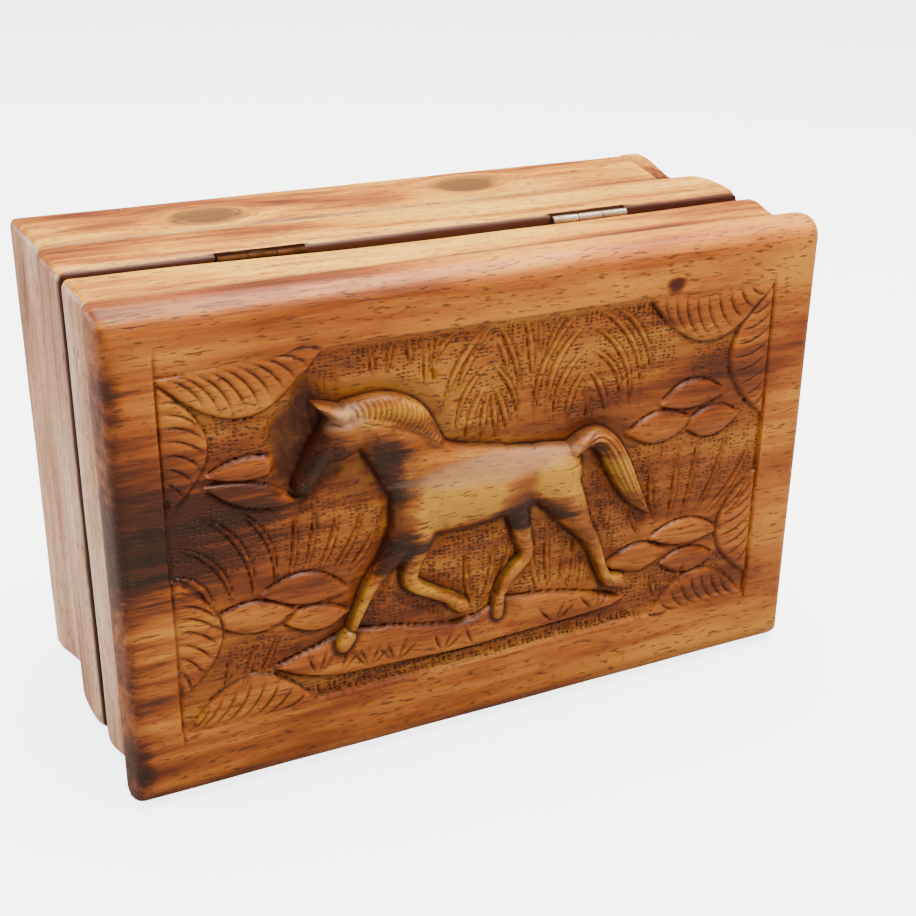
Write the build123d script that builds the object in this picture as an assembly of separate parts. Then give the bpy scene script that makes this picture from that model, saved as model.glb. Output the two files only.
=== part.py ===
from build123d import *
import os

# Wooden puzzle box with a carved horse lid, standing on its long front side.
# X runs along the box, Z goes up from the front side to the hinge side, and
# the carved lid faces -Y. Depth is measured from the lid's carved face, and
# inset is measured inwards from the nominal outline of the box's four sides.

# --- Driving dimensions (mm) -------------------------------------------------
LENGTH = 170.0            # nominal outline along X
HEIGHT = 111.0            # nominal outline along Z
SIDE_SWELL = 0.8          # how far the fullest moulding stands out of the outline
LOW = SIDE_SWELL          # Z of the nominal outline on the front side
HIGH = LOW + HEIGHT       # Z of the nominal outline on the hinge side
HALF = LENGTH / 2

DEPTH = 78.4              # carved face to the foot of the base moulding
HORSE_RISE = 2.6          # how far the carved horse stands out of the face
FACE_Y = (HORSE_RISE - DEPTH) / 2   # Y of the carved face, with the whole box centred on Y
BOARD_BACK = 15.4         # depth where the carved board meets the lid frame
LID_RIM = 31.8            # depth of the lid's rim
BODY_RIM = 32.8           # depth of the body's rim
BASE_TOP = 59.0           # depth where the body moulding meets the base moulding
WALL_END = 77.4           # depth where the walls stop, just inside the base foot
FLOOR_TOP = 72.3          # depth of the bottom panel's inner face
FLOOR_BACK = 77.2         # depth of the bottom panel's outer face

WALL = 12.5               # wall and lid frame thickness
BASE_THICK = 6.5          # base moulding thickness
SLIDE_GAP = 0.1           # play behind and beside a sliding moulding
CORNER_RADIUS = 3.0       # sanded corners, on the outline of the fullest moulding

# Side profiles as (depth, inset) along one side. The fullest parts reach a little
# past SIDE_SWELL and are sanded flat there, which gives the box flats to stand on.
BOARD_EDGE = [[(0, 4.2), (1.35, 0.7), (5.0, -0.95)],
              [(5.0, -0.95), (8.2, -0.8), (11.6, 0.45), (BOARD_BACK, 1.4)]]
LID_EDGE = [[(BOARD_BACK, 1.4), (19.6, 0.85), (25.0, 0.3), (28.8, 0.45), (LID_RIM - 0.7, 0.95)],
            [(LID_RIM - 0.7, 0.95), (LID_RIM, 1.65)]]
BODY_EDGE = [[(BODY_RIM, 1.4), (BODY_RIM + 0.7, 0.65)],
             [(BODY_RIM + 0.7, 0.65), (36.0, -0.25), (41.0, -0.8), (46.5, -0.95),
              (51.0, -0.45), (55.0, 0.75), (BASE_TOP, 1.5)]]
BASE_EDGE = [[(BASE_TOP, 1.5), (63.5, 0.95), (69.0, 0.25), (73.5, -0.5), (77.0, -1.0)],
             [(77.0, -1.0), (78.15, -0.45), (DEPTH, 0.5)]]

# Carving on the lid.
FIELD = (-74.5, 73.0, 15.5, 98.5)   # sunk field: low X, high X, low Z, high Z
FIELD_SINK = 1.2
MOUND_RISE = 0.6

# Hinges.
HINGE_X = (-41.0, 41.0)
LEAF_LENGTH = 20.0
LEAF_WIDTH = 8.0
LEAF_THICK = 0.8
LEAF_OFF_AXIS = 0.15                # each leaf's inner face from the pin's axis
KNUCKLE_RADIUS = 1.1
KNUCKLE_MIDDLE = 3.2                # half length of the lid's middle knuckle
KNUCKLE_END_GAP = 0.2
PIN_RADIUS = 0.6
AXIS_Z = HIGH - 1.6
SCREW_Z = 105.4
SCREW_SPREAD = 6.0

# Hidden sliding mouldings.
FRONT_TRAVEL = 45.0
RIGHT_TRAVEL = 38.0
DOVETAIL_DEPTH = 72.2               # centre line of the dovetail
DOVETAIL_REACH = 2.7
DOVETAIL_ROOT = 1.7                 # half widths
DOVETAIL_TIP = 2.5
DOVETAIL_PLAY = 0.15
FRONT_TONGUE = (-60.0, 30.0)        # X span
RIGHT_TONGUE = (18.0, 64.0)         # Z span
STOP_DEPTH = 66.2
STOP_RADIUS = 0.75
STOP_SLOT_PLAY = 0.25
STOP_REACH = 1.9                    # how far the pins stand into the mouldings
FRONT_STOP_X = 10.0
RIGHT_STOP_Z = 80.0

# Lock behind the front moulding.
LOCK_X = -52.0
LOCK_TOP = 33.4                     # depth of the lock's rim end
LOCK_END = 70.6
LOCK_PLATE_HALF = 18.0
LOCK_PLATE_THICK = 0.8
LOCK_CASE_HALF = 13.0
LOCK_CASE_HEIGHT = 7.0
LOCK_SHEET = 0.8
KEYHOLE_DEPTH = 63.0
BOLT_TRAVEL = 5.0
HOOK_X = (-49.5, -43.5)
HOOK_SLOT = (36.4, 41.2)            # depth span of the hook's notch
HOOK_WEB = 1.7
HOOK_TIP = 44.5

# Key pocket behind the right moulding.
POCKET_Z = (12.0, 43.0)
POCKET_DEPTH = (60.0, 68.4)
POCKET_SINK = 3.2


# --- Helpers -----------------------------------------------------------------
def at(depth):
    """Y of a depth below the carved face."""
    return FACE_Y + depth


def block(x_span, depth_span, z_span):
    """Box between two X, two depths and two Z."""
    size = (x_span[1] - x_span[0], depth_span[1] - depth_span[0], z_span[1] - z_span[0])
    middle = (sum(x_span) / 2, at(sum(depth_span) / 2), sum(z_span) / 2)
    return Pos(*middle) * Box(*size)


def rod(start, direction, length, radius, end_radius=None):
    """Round bar, or a cone when end_radius is given."""
    plane = Plane(origin=start, z_dir=direction)
    if end_radius is None:
        shape = Cylinder(radius, length, align=(Align.CENTER, Align.CENTER, Align.MIN))
    else:
        shape = Cone(radius, end_radius, length, align=(Align.CENTER, Align.CENTER, Align.MIN))
    return plane * shape


def screw(start, direction, length, play=0.0):
    """Countersunk wood screw with its head flush at start."""
    head = rod(start, direction, 0.8 + play, 1.8 + play, 1.0 + play)
    middle = Vector(*start) + Vector(*direction) * 0.8
    shank = rod(middle, direction, length - 2.3, 1.0 + play)
    tail = Vector(*start) + Vector(*direction) * (length - 1.5)
    return head + shank + rod(tail, direction, 1.5 + play, 1.0 + play, 0.2 + play)


def edge_curves(profile, side):
    """The profile's curves in (Y, across) coordinates, side(inset) giving across."""
    curves = []
    for points in profile:
        placed = [(at(depth), side(inset)) for depth, inset in points]
        curves.append(ThreePointArc(*placed) if len(placed) == 3 else Spline(*placed))
    return curves


def moulded_ring(profile):
    """Solid block whose four sides carry the profile, with sanded corner edges."""
    bars = []
    sides = ((Plane.YZ, LOW, HIGH),
             (Plane(origin=(0, 0, 0), x_dir=(0, 1, 0), z_dir=(0, 0, -1)), -HALF, HALF))
    for plane, low, high in sides:
        upper = edge_curves(profile, lambda inset: high - inset)
        lower = edge_curves(profile, lambda inset: low + inset)
        ends = [Line(upper[0] @ 0, lower[0] @ 0), Line(upper[-1] @ 1, lower[-1] @ 1)]
        bars.append(extrude(plane * make_face(upper + lower + ends), LENGTH, both=True))
    outline = RectangleRounded(LENGTH + 2 * SIDE_SWELL, HEIGHT + 2 * SIDE_SWELL, CORNER_RADIUS)
    sanded = extrude(Plane.XZ * Pos(0, (LOW + HIGH) / 2) * outline, DEPTH, both=True)
    return bars[0] & bars[1] & sanded


def inner_block(inset, depth_span):
    """Box of the outline moved in by inset."""
    return block((-HALF + inset, HALF - inset), depth_span, (LOW + inset, HIGH - inset))


MITRE_OUT = 6.0           # how far the mitre wedges reach outside the outline
MITRE_IN = 20.0           # and inside it


def mitre_wedge(side):
    """The 45 degree mitred region of one side, over the whole depth."""
    out_x, in_x = HALF + MITRE_OUT, HALF - MITRE_IN
    top_out, top_in = HIGH + MITRE_OUT, HIGH - MITRE_IN
    low_out, low_in = LOW - MITRE_OUT, LOW + MITRE_IN
    corners = {
        "rear": [(-out_x, top_out), (out_x, top_out), (in_x, top_in), (-in_x, top_in)],
        "front": [(-out_x, low_out), (out_x, low_out), (in_x, low_in), (-in_x, low_in)],
        "left": [(-out_x, low_out), (-out_x, top_out), (-in_x, top_in), (-in_x, low_in)],
        "right": [(out_x, low_out), (out_x, top_out), (in_x, top_in), (in_x, low_in)],
    }[side]
    face = Plane.XZ * make_face(Polyline(*corners, close=True))
    return extrude(face, DEPTH, both=True)


def dovetail(span, along, play=0.0):
    """Dovetail bar for the front (along X) or the right (along Z) moulding."""
    root, tip = DOVETAIL_ROOT + play, DOVETAIL_TIP + play
    base, end = BASE_THICK - 0.5, BASE_THICK + DOVETAIL_REACH + play
    section = [(-root, base), (root, base), (root, BASE_THICK), (tip, end),
               (-tip, end), (-root, BASE_THICK)]
    middle = at(DOVETAIL_DEPTH)
    if along == "x":
        points = [(span[0], middle + across, LOW + inset) for across, inset in section]
        direction = (1, 0, 0)
    else:
        points = [(HALF - inset, middle + across, span[0]) for across, inset in section]
        direction = (0, 0, 1)
    return extrude(make_face(Polyline(*points, close=True)), span[1] - span[0], dir=direction)


# --- Carved lid board ----------------------------------------------------------
FACE = Plane(origin=(0, FACE_Y, 0), x_dir=(1, 0, 0), z_dir=(0, -1, 0))
TRUNK = [(-41.8, 87.0), (-30.0, 87.6), (-20.0, 85.2), (-12.0, 74.2), (0.0, 69.8), (20.0, 68.0),
         (23.0, 60.0), (24.0, 48.0), (10.0, 53.0), (-8.0, 51.6), (-24.5, 45.5), (-25.0, 60.0),
         (-32.0, 73.4), (-44.5, 66.6), (-48.0, 70.0)]
LIMBS = {
    "tail": ([(21.0, 67.5), (27.0, 68.3), (32.5, 62.5), (40.5, 47.0)], 4.0),
    "near_hind_leg": ([(20.0, 52.0), (26.0, 43.5), (29.5, 31.5), (33.5, 28.2)], 4.0),
    "far_hind_leg": ([(7.0, 52.0), (9.0, 40.5), (2.2, 33.0), (1.8, 27.5)], 3.2),
    "near_fore_leg": ([(-25.0, 49.0), (-31.5, 41.0), (-34.5, 33.0), (-36.6, 29.4)], 3.4),
    "raised_fore_leg": ([(-20.6, 48.0), (-20.5, 39.5), (-8.2, 32.4)], 3.4),
}
MOUND = [(-53.0, 27.2), (-36.0, 31.6), (-10.0, 28.2), (6.0, 30.8), (34.0, 25.0), (22.0, 21.2),
         (-38.0, 21.2)]


def carved_board():
    """The lid's board: bullnose edge, sunk field, ground mound and raised horse."""
    board = moulded_ring(BOARD_EDGE)
    board -= block(FIELD[:2], (-1, FIELD_SINK), FIELD[2:])
    mound = FACE * make_face(Spline(*MOUND, periodic=True))
    board += extrude(mound, MOUND_RISE) + extrude(mound, -FIELD_SINK - 0.5)
    horse = FACE * make_face(Polyline(*TRUNK, close=True))
    for path, width in LIMBS.values():
        for start, end in zip(path, path[1:]):
            bar = SlotCenterToCenter((Vector(*end) - Vector(*start)).length, width)
            angle = Vector(1, 0).get_signed_angle(Vector(*end) - Vector(*start))
            middle = (Vector(*start) + Vector(*end)) / 2
            horse += FACE * Pos(middle.X, middle.Y) * Rot(0, 0, angle) * bar
    return board + extrude(horse, HORSE_RISE) + extrude(horse, -FIELD_SINK - 0.5)


# --- Hinges ----------------------------------------------------------------------
AXIS_Y = at((LID_RIM + BODY_RIM) / 2)
NOTCH = KNUCKLE_RADIUS + 0.35
CUT_BACK = KNUCKLE_RADIUS + 0.2


def knuckle_bar(x_span, radius):
    return rod((x_span[0], AXIS_Y, AXIS_Z), (1, 0, 0), x_span[1] - x_span[0], radius)


def hinge_screws(centre, side):
    """Both screws of one leaf; side is +1 in the body and -1 in the lid."""
    face = AXIS_Y + side * LEAF_OFF_AXIS
    return [((centre + dx, face, SCREW_Z), (0, side, 0)) for dx in (-SCREW_SPREAD, SCREW_SPREAD)]


def hinge_leaf(centre, side):
    """Leaf with its own knuckles: two outer ones on the body, the middle one on the lid."""
    low_y = min(side * LEAF_OFF_AXIS, side * (LEAF_OFF_AXIS + LEAF_THICK))
    half = LEAF_LENGTH / 2
    plate = Pos(centre, AXIS_Y + low_y + LEAF_THICK / 2, AXIS_Z - LEAF_WIDTH / 2)
    leaf = plate * Box(LEAF_LENGTH, LEAF_THICK, LEAF_WIDTH)
    middle = (centre - KNUCKLE_MIDDLE, centre + KNUCKLE_MIDDLE)
    outer = [(centre - half, middle[0] - KNUCKLE_END_GAP), (middle[1] + KNUCKLE_END_GAP, centre + half)]
    own, other = (outer, [middle]) if side > 0 else ([middle], outer)
    for span in other:
        gap = (span[0] - KNUCKLE_END_GAP, span[1] + KNUCKLE_END_GAP)
        cut = Pos(sum(gap) / 2, AXIS_Y, AXIS_Z)
        leaf -= cut * Box(gap[1] - gap[0], 4 * LEAF_THICK + 2, 2 * CUT_BACK)
    for span in own:
        leaf += knuckle_bar(span, KNUCKLE_RADIUS)
    bore = PIN_RADIUS if side > 0 else PIN_RADIUS + 0.05
    leaf -= knuckle_bar((centre - half - 1, centre + half + 1), bore)
    for start, direction in hinge_screws(centre, side):
        leaf -= screw(start, direction, 9.0, 0.03)
    return leaf


def hinge_cuts(side):
    """What the hinges take out of one rim: leaf mortises, knuckle notches, screw holes."""
    cuts = []
    for centre in HINGE_X:
        span = LEAF_LENGTH + 0.1
        deep = LEAF_OFF_AXIS + LEAF_THICK
        mortise = Pos(centre, AXIS_Y + side * deep / 2, AXIS_Z - LEAF_WIDTH / 2)
        cuts.append(mortise * Box(span, deep, LEAF_WIDTH))
        cuts.append(Pos(centre, AXIS_Y, AXIS_Z + 1) * Box(span + 0.5, 2 * NOTCH, 2 * NOTCH + 2))
        cuts += [screw(start, direction, 9.0, 0.03) for start, direction in hinge_screws(centre, side)]
    return cuts


# --- Lock ------------------------------------------------------------------------
INNER_Z = LOW + WALL                              # inner face of the front wall
LOCK_FACE = INNER_Z + LOCK_PLATE_THICK
LAYER = (INNER_Z + 2.3, INNER_Z + 3.9)            # Z span of the bolt and the hook
LOCK_SCREWS = [((LOCK_X + dx, at(depth), LOCK_FACE), (0, 0, -1))
               for dx in (-15.5, 15.5) for depth in (39.0, 65.0)]
KEEPER_SCREWS = [((LOCK_X + dx, at(24.5), INNER_Z + 1.2), (0, 0, -1)) for dx in (-2.0, 13.0)]


def keyhole(z_span):
    """Round hole with a slot for the key's bit, along Z."""
    start = (LOCK_X, at(KEYHOLE_DEPTH), z_span[0])
    hole = rod(start, (0, 0, 1), z_span[1] - z_span[0], 1.8)
    slot = block((LOCK_X - 0.9, LOCK_X + 0.9), (KEYHOLE_DEPTH, KEYHOLE_DEPTH + 4.6), z_span)
    return hole + slot


def lock_back_plate():
    span = (LOCK_X - LOCK_PLATE_HALF, LOCK_X + LOCK_PLATE_HALF)
    plate = block(span, (LOCK_TOP, LOCK_END), (INNER_Z, LOCK_FACE))
    plate -= keyhole((INNER_Z - 1, LOCK_FACE + 1))
    for start, direction in LOCK_SCREWS:
        plate -= screw(start, direction, 5.0, 0.03)
    return plate


def lock_case():
    """Folded sheet case, open towards the wall, slotted at the rim for the hook."""
    span = (LOCK_X - LOCK_CASE_HALF, LOCK_X + LOCK_CASE_HALF)
    top = LOCK_FACE + LOCK_CASE_HEIGHT
    case = block(span, (LOCK_TOP, LOCK_END), (LOCK_FACE, top))
    case = fillet(case.edges().filter_by(Axis.Y).group_by(Axis.Z)[-1], 1.2)
    inner = (span[0] + LOCK_SHEET, span[1] - LOCK_SHEET)
    case -= block(inner, (LOCK_TOP + LOCK_SHEET, LOCK_END - LOCK_SHEET), (LOCK_FACE - 1, top - LOCK_SHEET))
    hook = (HOOK_X[0] - 0.8, HOOK_X[1] + 0.8)
    return case - block(hook, (LOCK_TOP - 1, LOCK_TOP + 2), (LOCK_FACE + 0.2, LAYER[1] + 1.0))


def lock_bolt():
    """Sliding plate whose nose enters the hook's notch, with a gate for the key."""
    plate = block((-62.4, -54.8), (HOOK_SLOT[0] + 0.2, 66.5), LAYER)
    nose = block((-54.8, HOOK_X[0] - 1.0), (HOOK_SLOT[0] + 0.5, HOOK_SLOT[1] - 0.5), LAYER)
    gate = block((-57.4, -54.7), (KEYHOLE_DEPTH - 1.5, KEYHOLE_DEPTH + 1.5), (LAYER[0] - 1, LAYER[1] + 1))
    return plate + nose - gate


def lid_keeper():
    """Plate on the lid frame with the hook that reaches into the lock."""
    plate = block((LOCK_X - 5, LOCK_X + 16), (19.5, 31.4), (INNER_Z, INNER_Z + 1.2))
    riser = block(HOOK_X, (27.5, 31.4), (INNER_Z, LAYER[1]))
    hook = block(HOOK_X, (27.5, HOOK_TIP), LAYER)
    hook -= block((HOOK_X[0] - 1, HOOK_X[1] - HOOK_WEB), HOOK_SLOT, (LAYER[0] - 1, LAYER[1] + 1))
    keeper = plate + riser + hook
    for start, direction in KEEPER_SCREWS:
        keeper -= screw(start, direction, 6.0, 0.03)
    return keeper


def key():
    """Small key lying in its pocket: ring bow, round shank and bit."""
    x = HALF - BASE_THICK - SLIDE_GAP - 1.7
    middle = at(sum(POCKET_DEPTH) / 2)
    bow_z = POCKET_Z[0] + 4.6
    bow = rod((x - 0.9, middle, bow_z), (1, 0, 0), 1.8, 3.8)
    bow -= rod((x - 1.5, middle, bow_z), (1, 0, 0), 3.0, 1.9)
    shank = rod((x, middle, bow_z + 2.8), (0, 0, 1), POCKET_Z[1] - bow_z - 3.6, 1.1)
    collar = rod((x, middle, bow_z + 3.4), (0, 0, 1), 1.2, 1.5)
    bit_z = (POCKET_Z[1] - 6.4, POCKET_Z[1] - 2.4)
    bit = block((x - 0.7, x + 0.7), (sum(POCKET_DEPTH) / 2, POCKET_DEPTH[1] - 0.4), bit_z)
    notch_z = (bit_z[0] + 1.5, bit_z[1] - 1.5)
    bit -= block((x - 1, x + 1), (POCKET_DEPTH[1] - 1.8, POCKET_DEPTH[1]), notch_z)
    return bow + shank + collar + bit


# --- Walls and mouldings ---------------------------------------------------------
def front_stop_pin(play=0.0):
    start = (FRONT_STOP_X, at(STOP_DEPTH), LOW + BASE_THICK - STOP_REACH)
    return rod(start, (0, 0, 1), STOP_REACH + 4.0 + play, STOP_RADIUS + play)


def right_stop_pin(play=0.0):
    start = (HALF - BASE_THICK + STOP_REACH, at(STOP_DEPTH), RIGHT_STOP_Z)
    return rod(start, (-1, 0, 0), STOP_REACH + 4.0 + play, STOP_RADIUS + play)


def walls():
    """The four mitred walls of the body, thinner behind the base mouldings."""
    back = BASE_THICK + SLIDE_GAP
    ring = moulded_ring(BODY_EDGE) + inner_block(back, (BASE_TOP - 1, WALL_END))
    ring -= inner_block(WALL, (BODY_RIM - 1, DEPTH + 1))
    for cut in hinge_cuts(1):
        ring -= cut
    ring -= dovetail((FRONT_TONGUE[0] - 1, HALF), "x", DOVETAIL_PLAY)
    ring -= dovetail((RIGHT_TONGUE[0] - 1, HIGH), "z", DOVETAIL_PLAY)
    ring -= keyhole((LOW, INNER_Z + 1))
    ring -= front_stop_pin(0.02)
    ring -= right_stop_pin(0.02)
    sink = HALF - back - POCKET_SINK
    ring -= block((sink, HALF), POCKET_DEPTH, POCKET_Z)
    for start, direction in LOCK_SCREWS:
        ring -= screw(start, direction, 5.0, 0.03)
    return {side: ring & mitre_wedge(side) for side in ("rear", "front", "left", "right")}


def base_mouldings():
    """Fixed rear and left mouldings, and the sliding front and right ones."""
    solid = moulded_ring(BASE_EDGE)
    back = BASE_THICK + SLIDE_GAP
    fixed = solid - inner_block(back, (BASE_TOP - 1, DEPTH + 1))
    loose = solid - inner_block(BASE_THICK, (BASE_TOP - 1, DEPTH + 1))
    loose -= block((-HALF - 5, HALF + 5), (BASE_TOP - 1, BASE_TOP + SLIDE_GAP), (LOW - 5, HIGH + 5))
    inner_right = HALF - back
    above_front = LOW + back + SLIDE_GAP
    depth_span = (BASE_TOP - 2, DEPTH + 2)
    beyond = HALF + MITRE_IN
    rear = fixed & (mitre_wedge("rear") + mitre_wedge("right"))
    rear &= block((-beyond, inner_right), depth_span, (LOW + MITRE_IN, HIGH + MITRE_IN))
    left = fixed & mitre_wedge("left")
    right = loose & block((inner_right, beyond), depth_span, (above_front, HIGH + MITRE_IN))
    front = loose & block((-beyond, beyond), depth_span, (LOW - MITRE_IN, LOW + BASE_THICK))
    front -= mitre_wedge("left").moved(Location((2 * SLIDE_GAP, 0, 0)))
    front += dovetail(FRONT_TONGUE, "x")
    right += dovetail(RIGHT_TONGUE, "z")
    half = STOP_RADIUS + STOP_SLOT_PLAY
    slot = (STOP_DEPTH - half, STOP_DEPTH + half)
    reach = STOP_REACH + STOP_SLOT_PLAY
    front -= block((FRONT_STOP_X - FRONT_TRAVEL - half, FRONT_STOP_X + half), slot,
                   (LOW + BASE_THICK - reach, LOW + BASE_THICK + 1))
    right -= block((HALF - BASE_THICK - 1, HALF - BASE_THICK + reach), slot,
                   (RIGHT_STOP_Z - RIGHT_TRAVEL - half, RIGHT_STOP_Z + half))
    return {"rear": rear, "left": left, "front": front, "right": right}


def lid_rails():
    """The four mitred rails of the lid frame."""
    ring = moulded_ring(LID_EDGE) - inner_block(WALL, (0, DEPTH))
    for cut in hinge_cuts(-1):
        ring -= cut
    for start, direction in KEEPER_SCREWS:
        ring -= screw(start, direction, 6.0, 0.03)
    return {side: ring & mitre_wedge(side) for side in ("rear", "front", "left", "right")}


def assemble():
    """Every node by name, as one solid or a list of separate solids."""
    nodes = {"lid_panel": carved_board()}
    for side, shape in lid_rails().items():
        nodes["lid_rail_" + side] = shape
    for side, shape in walls().items():
        nodes["wall_" + side] = shape
    for side, shape in base_mouldings().items():
        kind = "_slide" if side in ("front", "right") else ""
        nodes["base_moulding_" + side + kind] = shape
    nodes["bottom_panel"] = inner_block(WALL, (FLOOR_TOP, FLOOR_BACK))
    for name, centre in zip(("left", "right"), HINGE_X):
        half = LEAF_LENGTH / 2
        nodes["hinge_" + name + "_body_leaf"] = hinge_leaf(centre, 1)
        nodes["hinge_" + name + "_lid_leaf"] = hinge_leaf(centre, -1)
        nodes["hinge_" + name + "_pin"] = knuckle_bar((centre - half, centre + half), PIN_RADIUS)
    for name, side in (("body", 1), ("lid", -1)):
        placed = [spot for centre in HINGE_X for spot in hinge_screws(centre, side)]
        nodes["hinge_screws_" + name] = [screw(*spot, 9.0) for spot in placed]
    nodes["lock_back_plate"] = lock_back_plate()
    nodes["lock_case"] = lock_case()
    nodes["lock_bolt"] = lock_bolt()
    nodes["lock_screws"] = [screw(*spot, 5.0) for spot in LOCK_SCREWS]
    nodes["lid_keeper"] = lid_keeper()
    nodes["keeper_screws"] = [screw(*spot, 6.0) for spot in KEEPER_SCREWS]
    nodes["slide_stop_pins"] = [front_stop_pin(), right_stop_pin()]
    nodes["key"] = key()
    return nodes


def main():
    os.makedirs("parts", exist_ok=True)
    for name, shape in assemble().items():
        solids = shape if isinstance(shape, list) else shape.solids()
        flat = [solid for item in solids for solid in item.solids()]
        body = flat[0] if len(flat) == 1 else Compound(children=flat)
        export_step(body, os.path.join("parts", name + ".step"))
        print(name, len(flat), round(sum(solid.volume for solid in flat), 1))


main()
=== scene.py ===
import math

import bpy
import numpy as np
from mathutils import Matrix, Vector


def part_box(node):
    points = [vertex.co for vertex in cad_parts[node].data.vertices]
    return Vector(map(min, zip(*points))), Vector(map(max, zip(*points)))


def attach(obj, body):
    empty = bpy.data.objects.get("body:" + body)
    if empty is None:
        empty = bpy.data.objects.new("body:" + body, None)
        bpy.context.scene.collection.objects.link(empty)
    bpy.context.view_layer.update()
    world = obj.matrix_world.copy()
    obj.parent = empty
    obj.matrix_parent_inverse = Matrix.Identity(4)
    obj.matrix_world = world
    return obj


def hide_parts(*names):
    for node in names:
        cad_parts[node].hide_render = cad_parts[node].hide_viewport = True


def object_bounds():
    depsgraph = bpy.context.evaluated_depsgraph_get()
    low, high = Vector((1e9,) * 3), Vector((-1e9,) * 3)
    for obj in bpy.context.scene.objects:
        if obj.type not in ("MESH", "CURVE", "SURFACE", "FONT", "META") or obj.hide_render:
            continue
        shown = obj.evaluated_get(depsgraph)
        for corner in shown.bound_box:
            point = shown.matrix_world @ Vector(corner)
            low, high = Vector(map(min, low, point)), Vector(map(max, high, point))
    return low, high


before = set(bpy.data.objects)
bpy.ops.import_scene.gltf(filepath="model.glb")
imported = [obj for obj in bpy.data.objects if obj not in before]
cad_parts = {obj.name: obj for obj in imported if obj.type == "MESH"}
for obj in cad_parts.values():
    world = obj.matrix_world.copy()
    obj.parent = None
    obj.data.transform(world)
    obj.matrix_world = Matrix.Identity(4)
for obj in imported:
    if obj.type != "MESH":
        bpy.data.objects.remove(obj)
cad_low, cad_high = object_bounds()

# Wooden puzzle box with a carved horse lid, standing on its long front side.
# Everything is worked out in millimetres and turned to metres where it is placed.
MM = 0.001


def edge(node, high, axis):
    """One face of a CAD node's box, in millimetres."""
    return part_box(node)[high][axis] / MM


# --- Driving dimensions, from the frame ------------------------------------------------
SIDE_SWELL = 0.8                                   # fullest moulding beyond the outline
HORSE_RISE = 2.6                                   # the horse stands out of the lid's face
HALF = cad_high.x / MM - SIDE_SWELL                # half length of the nominal outline
LOW = SIDE_SWELL                                   # Z of the outline on the front side
HIGH = cad_high.z / MM - SIDE_SWELL                # Z of the outline on the hinge side
MIDDLE = (LOW + HIGH) / 2
FACE_Y = cad_low.y / MM + HORSE_RISE               # Y of the lid's carved face
BOARD_BACK = edge("lid_panel", 1, 1) - FACE_Y      # depths below the carved face
LID_RIM = edge("lid_rail_front", 1, 1) - FACE_Y
BODY_RIM = edge("wall_front", 0, 1) - FACE_Y
BASE_TOP = edge("base_moulding_rear", 0, 1) - FACE_Y
FOOT = edge("base_moulding_rear", 1, 1) - FACE_Y
WALL_END = edge("wall_front", 1, 1) - FACE_Y
WALL = 12.5                                        # wall thickness
BASE_THICK = 6.5                                   # base moulding thickness
SLIDE_GAP = 0.1

# --- Carving: height and stain of the lid's face, worked out in millimetres --------------
# Board coordinates: x from the middle of the board, z from the lower side of the box.
FIELD_LEFT, FIELD_RIGHT = -74.6, 72.9
FIELD_LOW, FIELD_HIGH = 15.6, 98.4
GROUND = -0.95                   # level of the punched ground
DEEP_GROUND = -2.1               # ground right beside the horse
FINE = 0.42                      # spacing of the board's points over the carving


def smooth(value, low, high):
    """0 below low, 1 above high, with soft ends."""
    t = np.clip((value - low) / (high - low), 0.0, 1.0)
    return t * t * (3.0 - 2.0 * t)


def bow(start, end, rise, count=9):
    """Points of an arc from start to end that bows to the left of its course by rise."""
    start, end = np.array(start, float), np.array(end, float)
    t = np.linspace(0.0, 1.0, count)[:, None]
    course = end - start
    left = np.array([-course[1], course[0]]) / np.hypot(*course)
    return start + course * t + left * rise * 4.0 * t * (1.0 - t)


def curve(points, count=24):
    """Smooth line through the points, evenly spread in the points' own order."""
    points = np.array(points, float)
    padded = np.vstack([2 * points[0] - points[1], points, 2 * points[-1] - points[-2]])
    line = []
    for t in np.linspace(0.0, len(points) - 1.0001, count):
        i = int(t)
        u = t - i
        a, b, c, d = padded[i:i + 4]
        line.append(0.5 * (2 * b + (c - a) * u + (2 * a - 5 * b + 4 * c - d) * u ** 2
                           + (3 * b - a - 3 * c + d) * u ** 3))
    return np.array(line)


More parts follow.
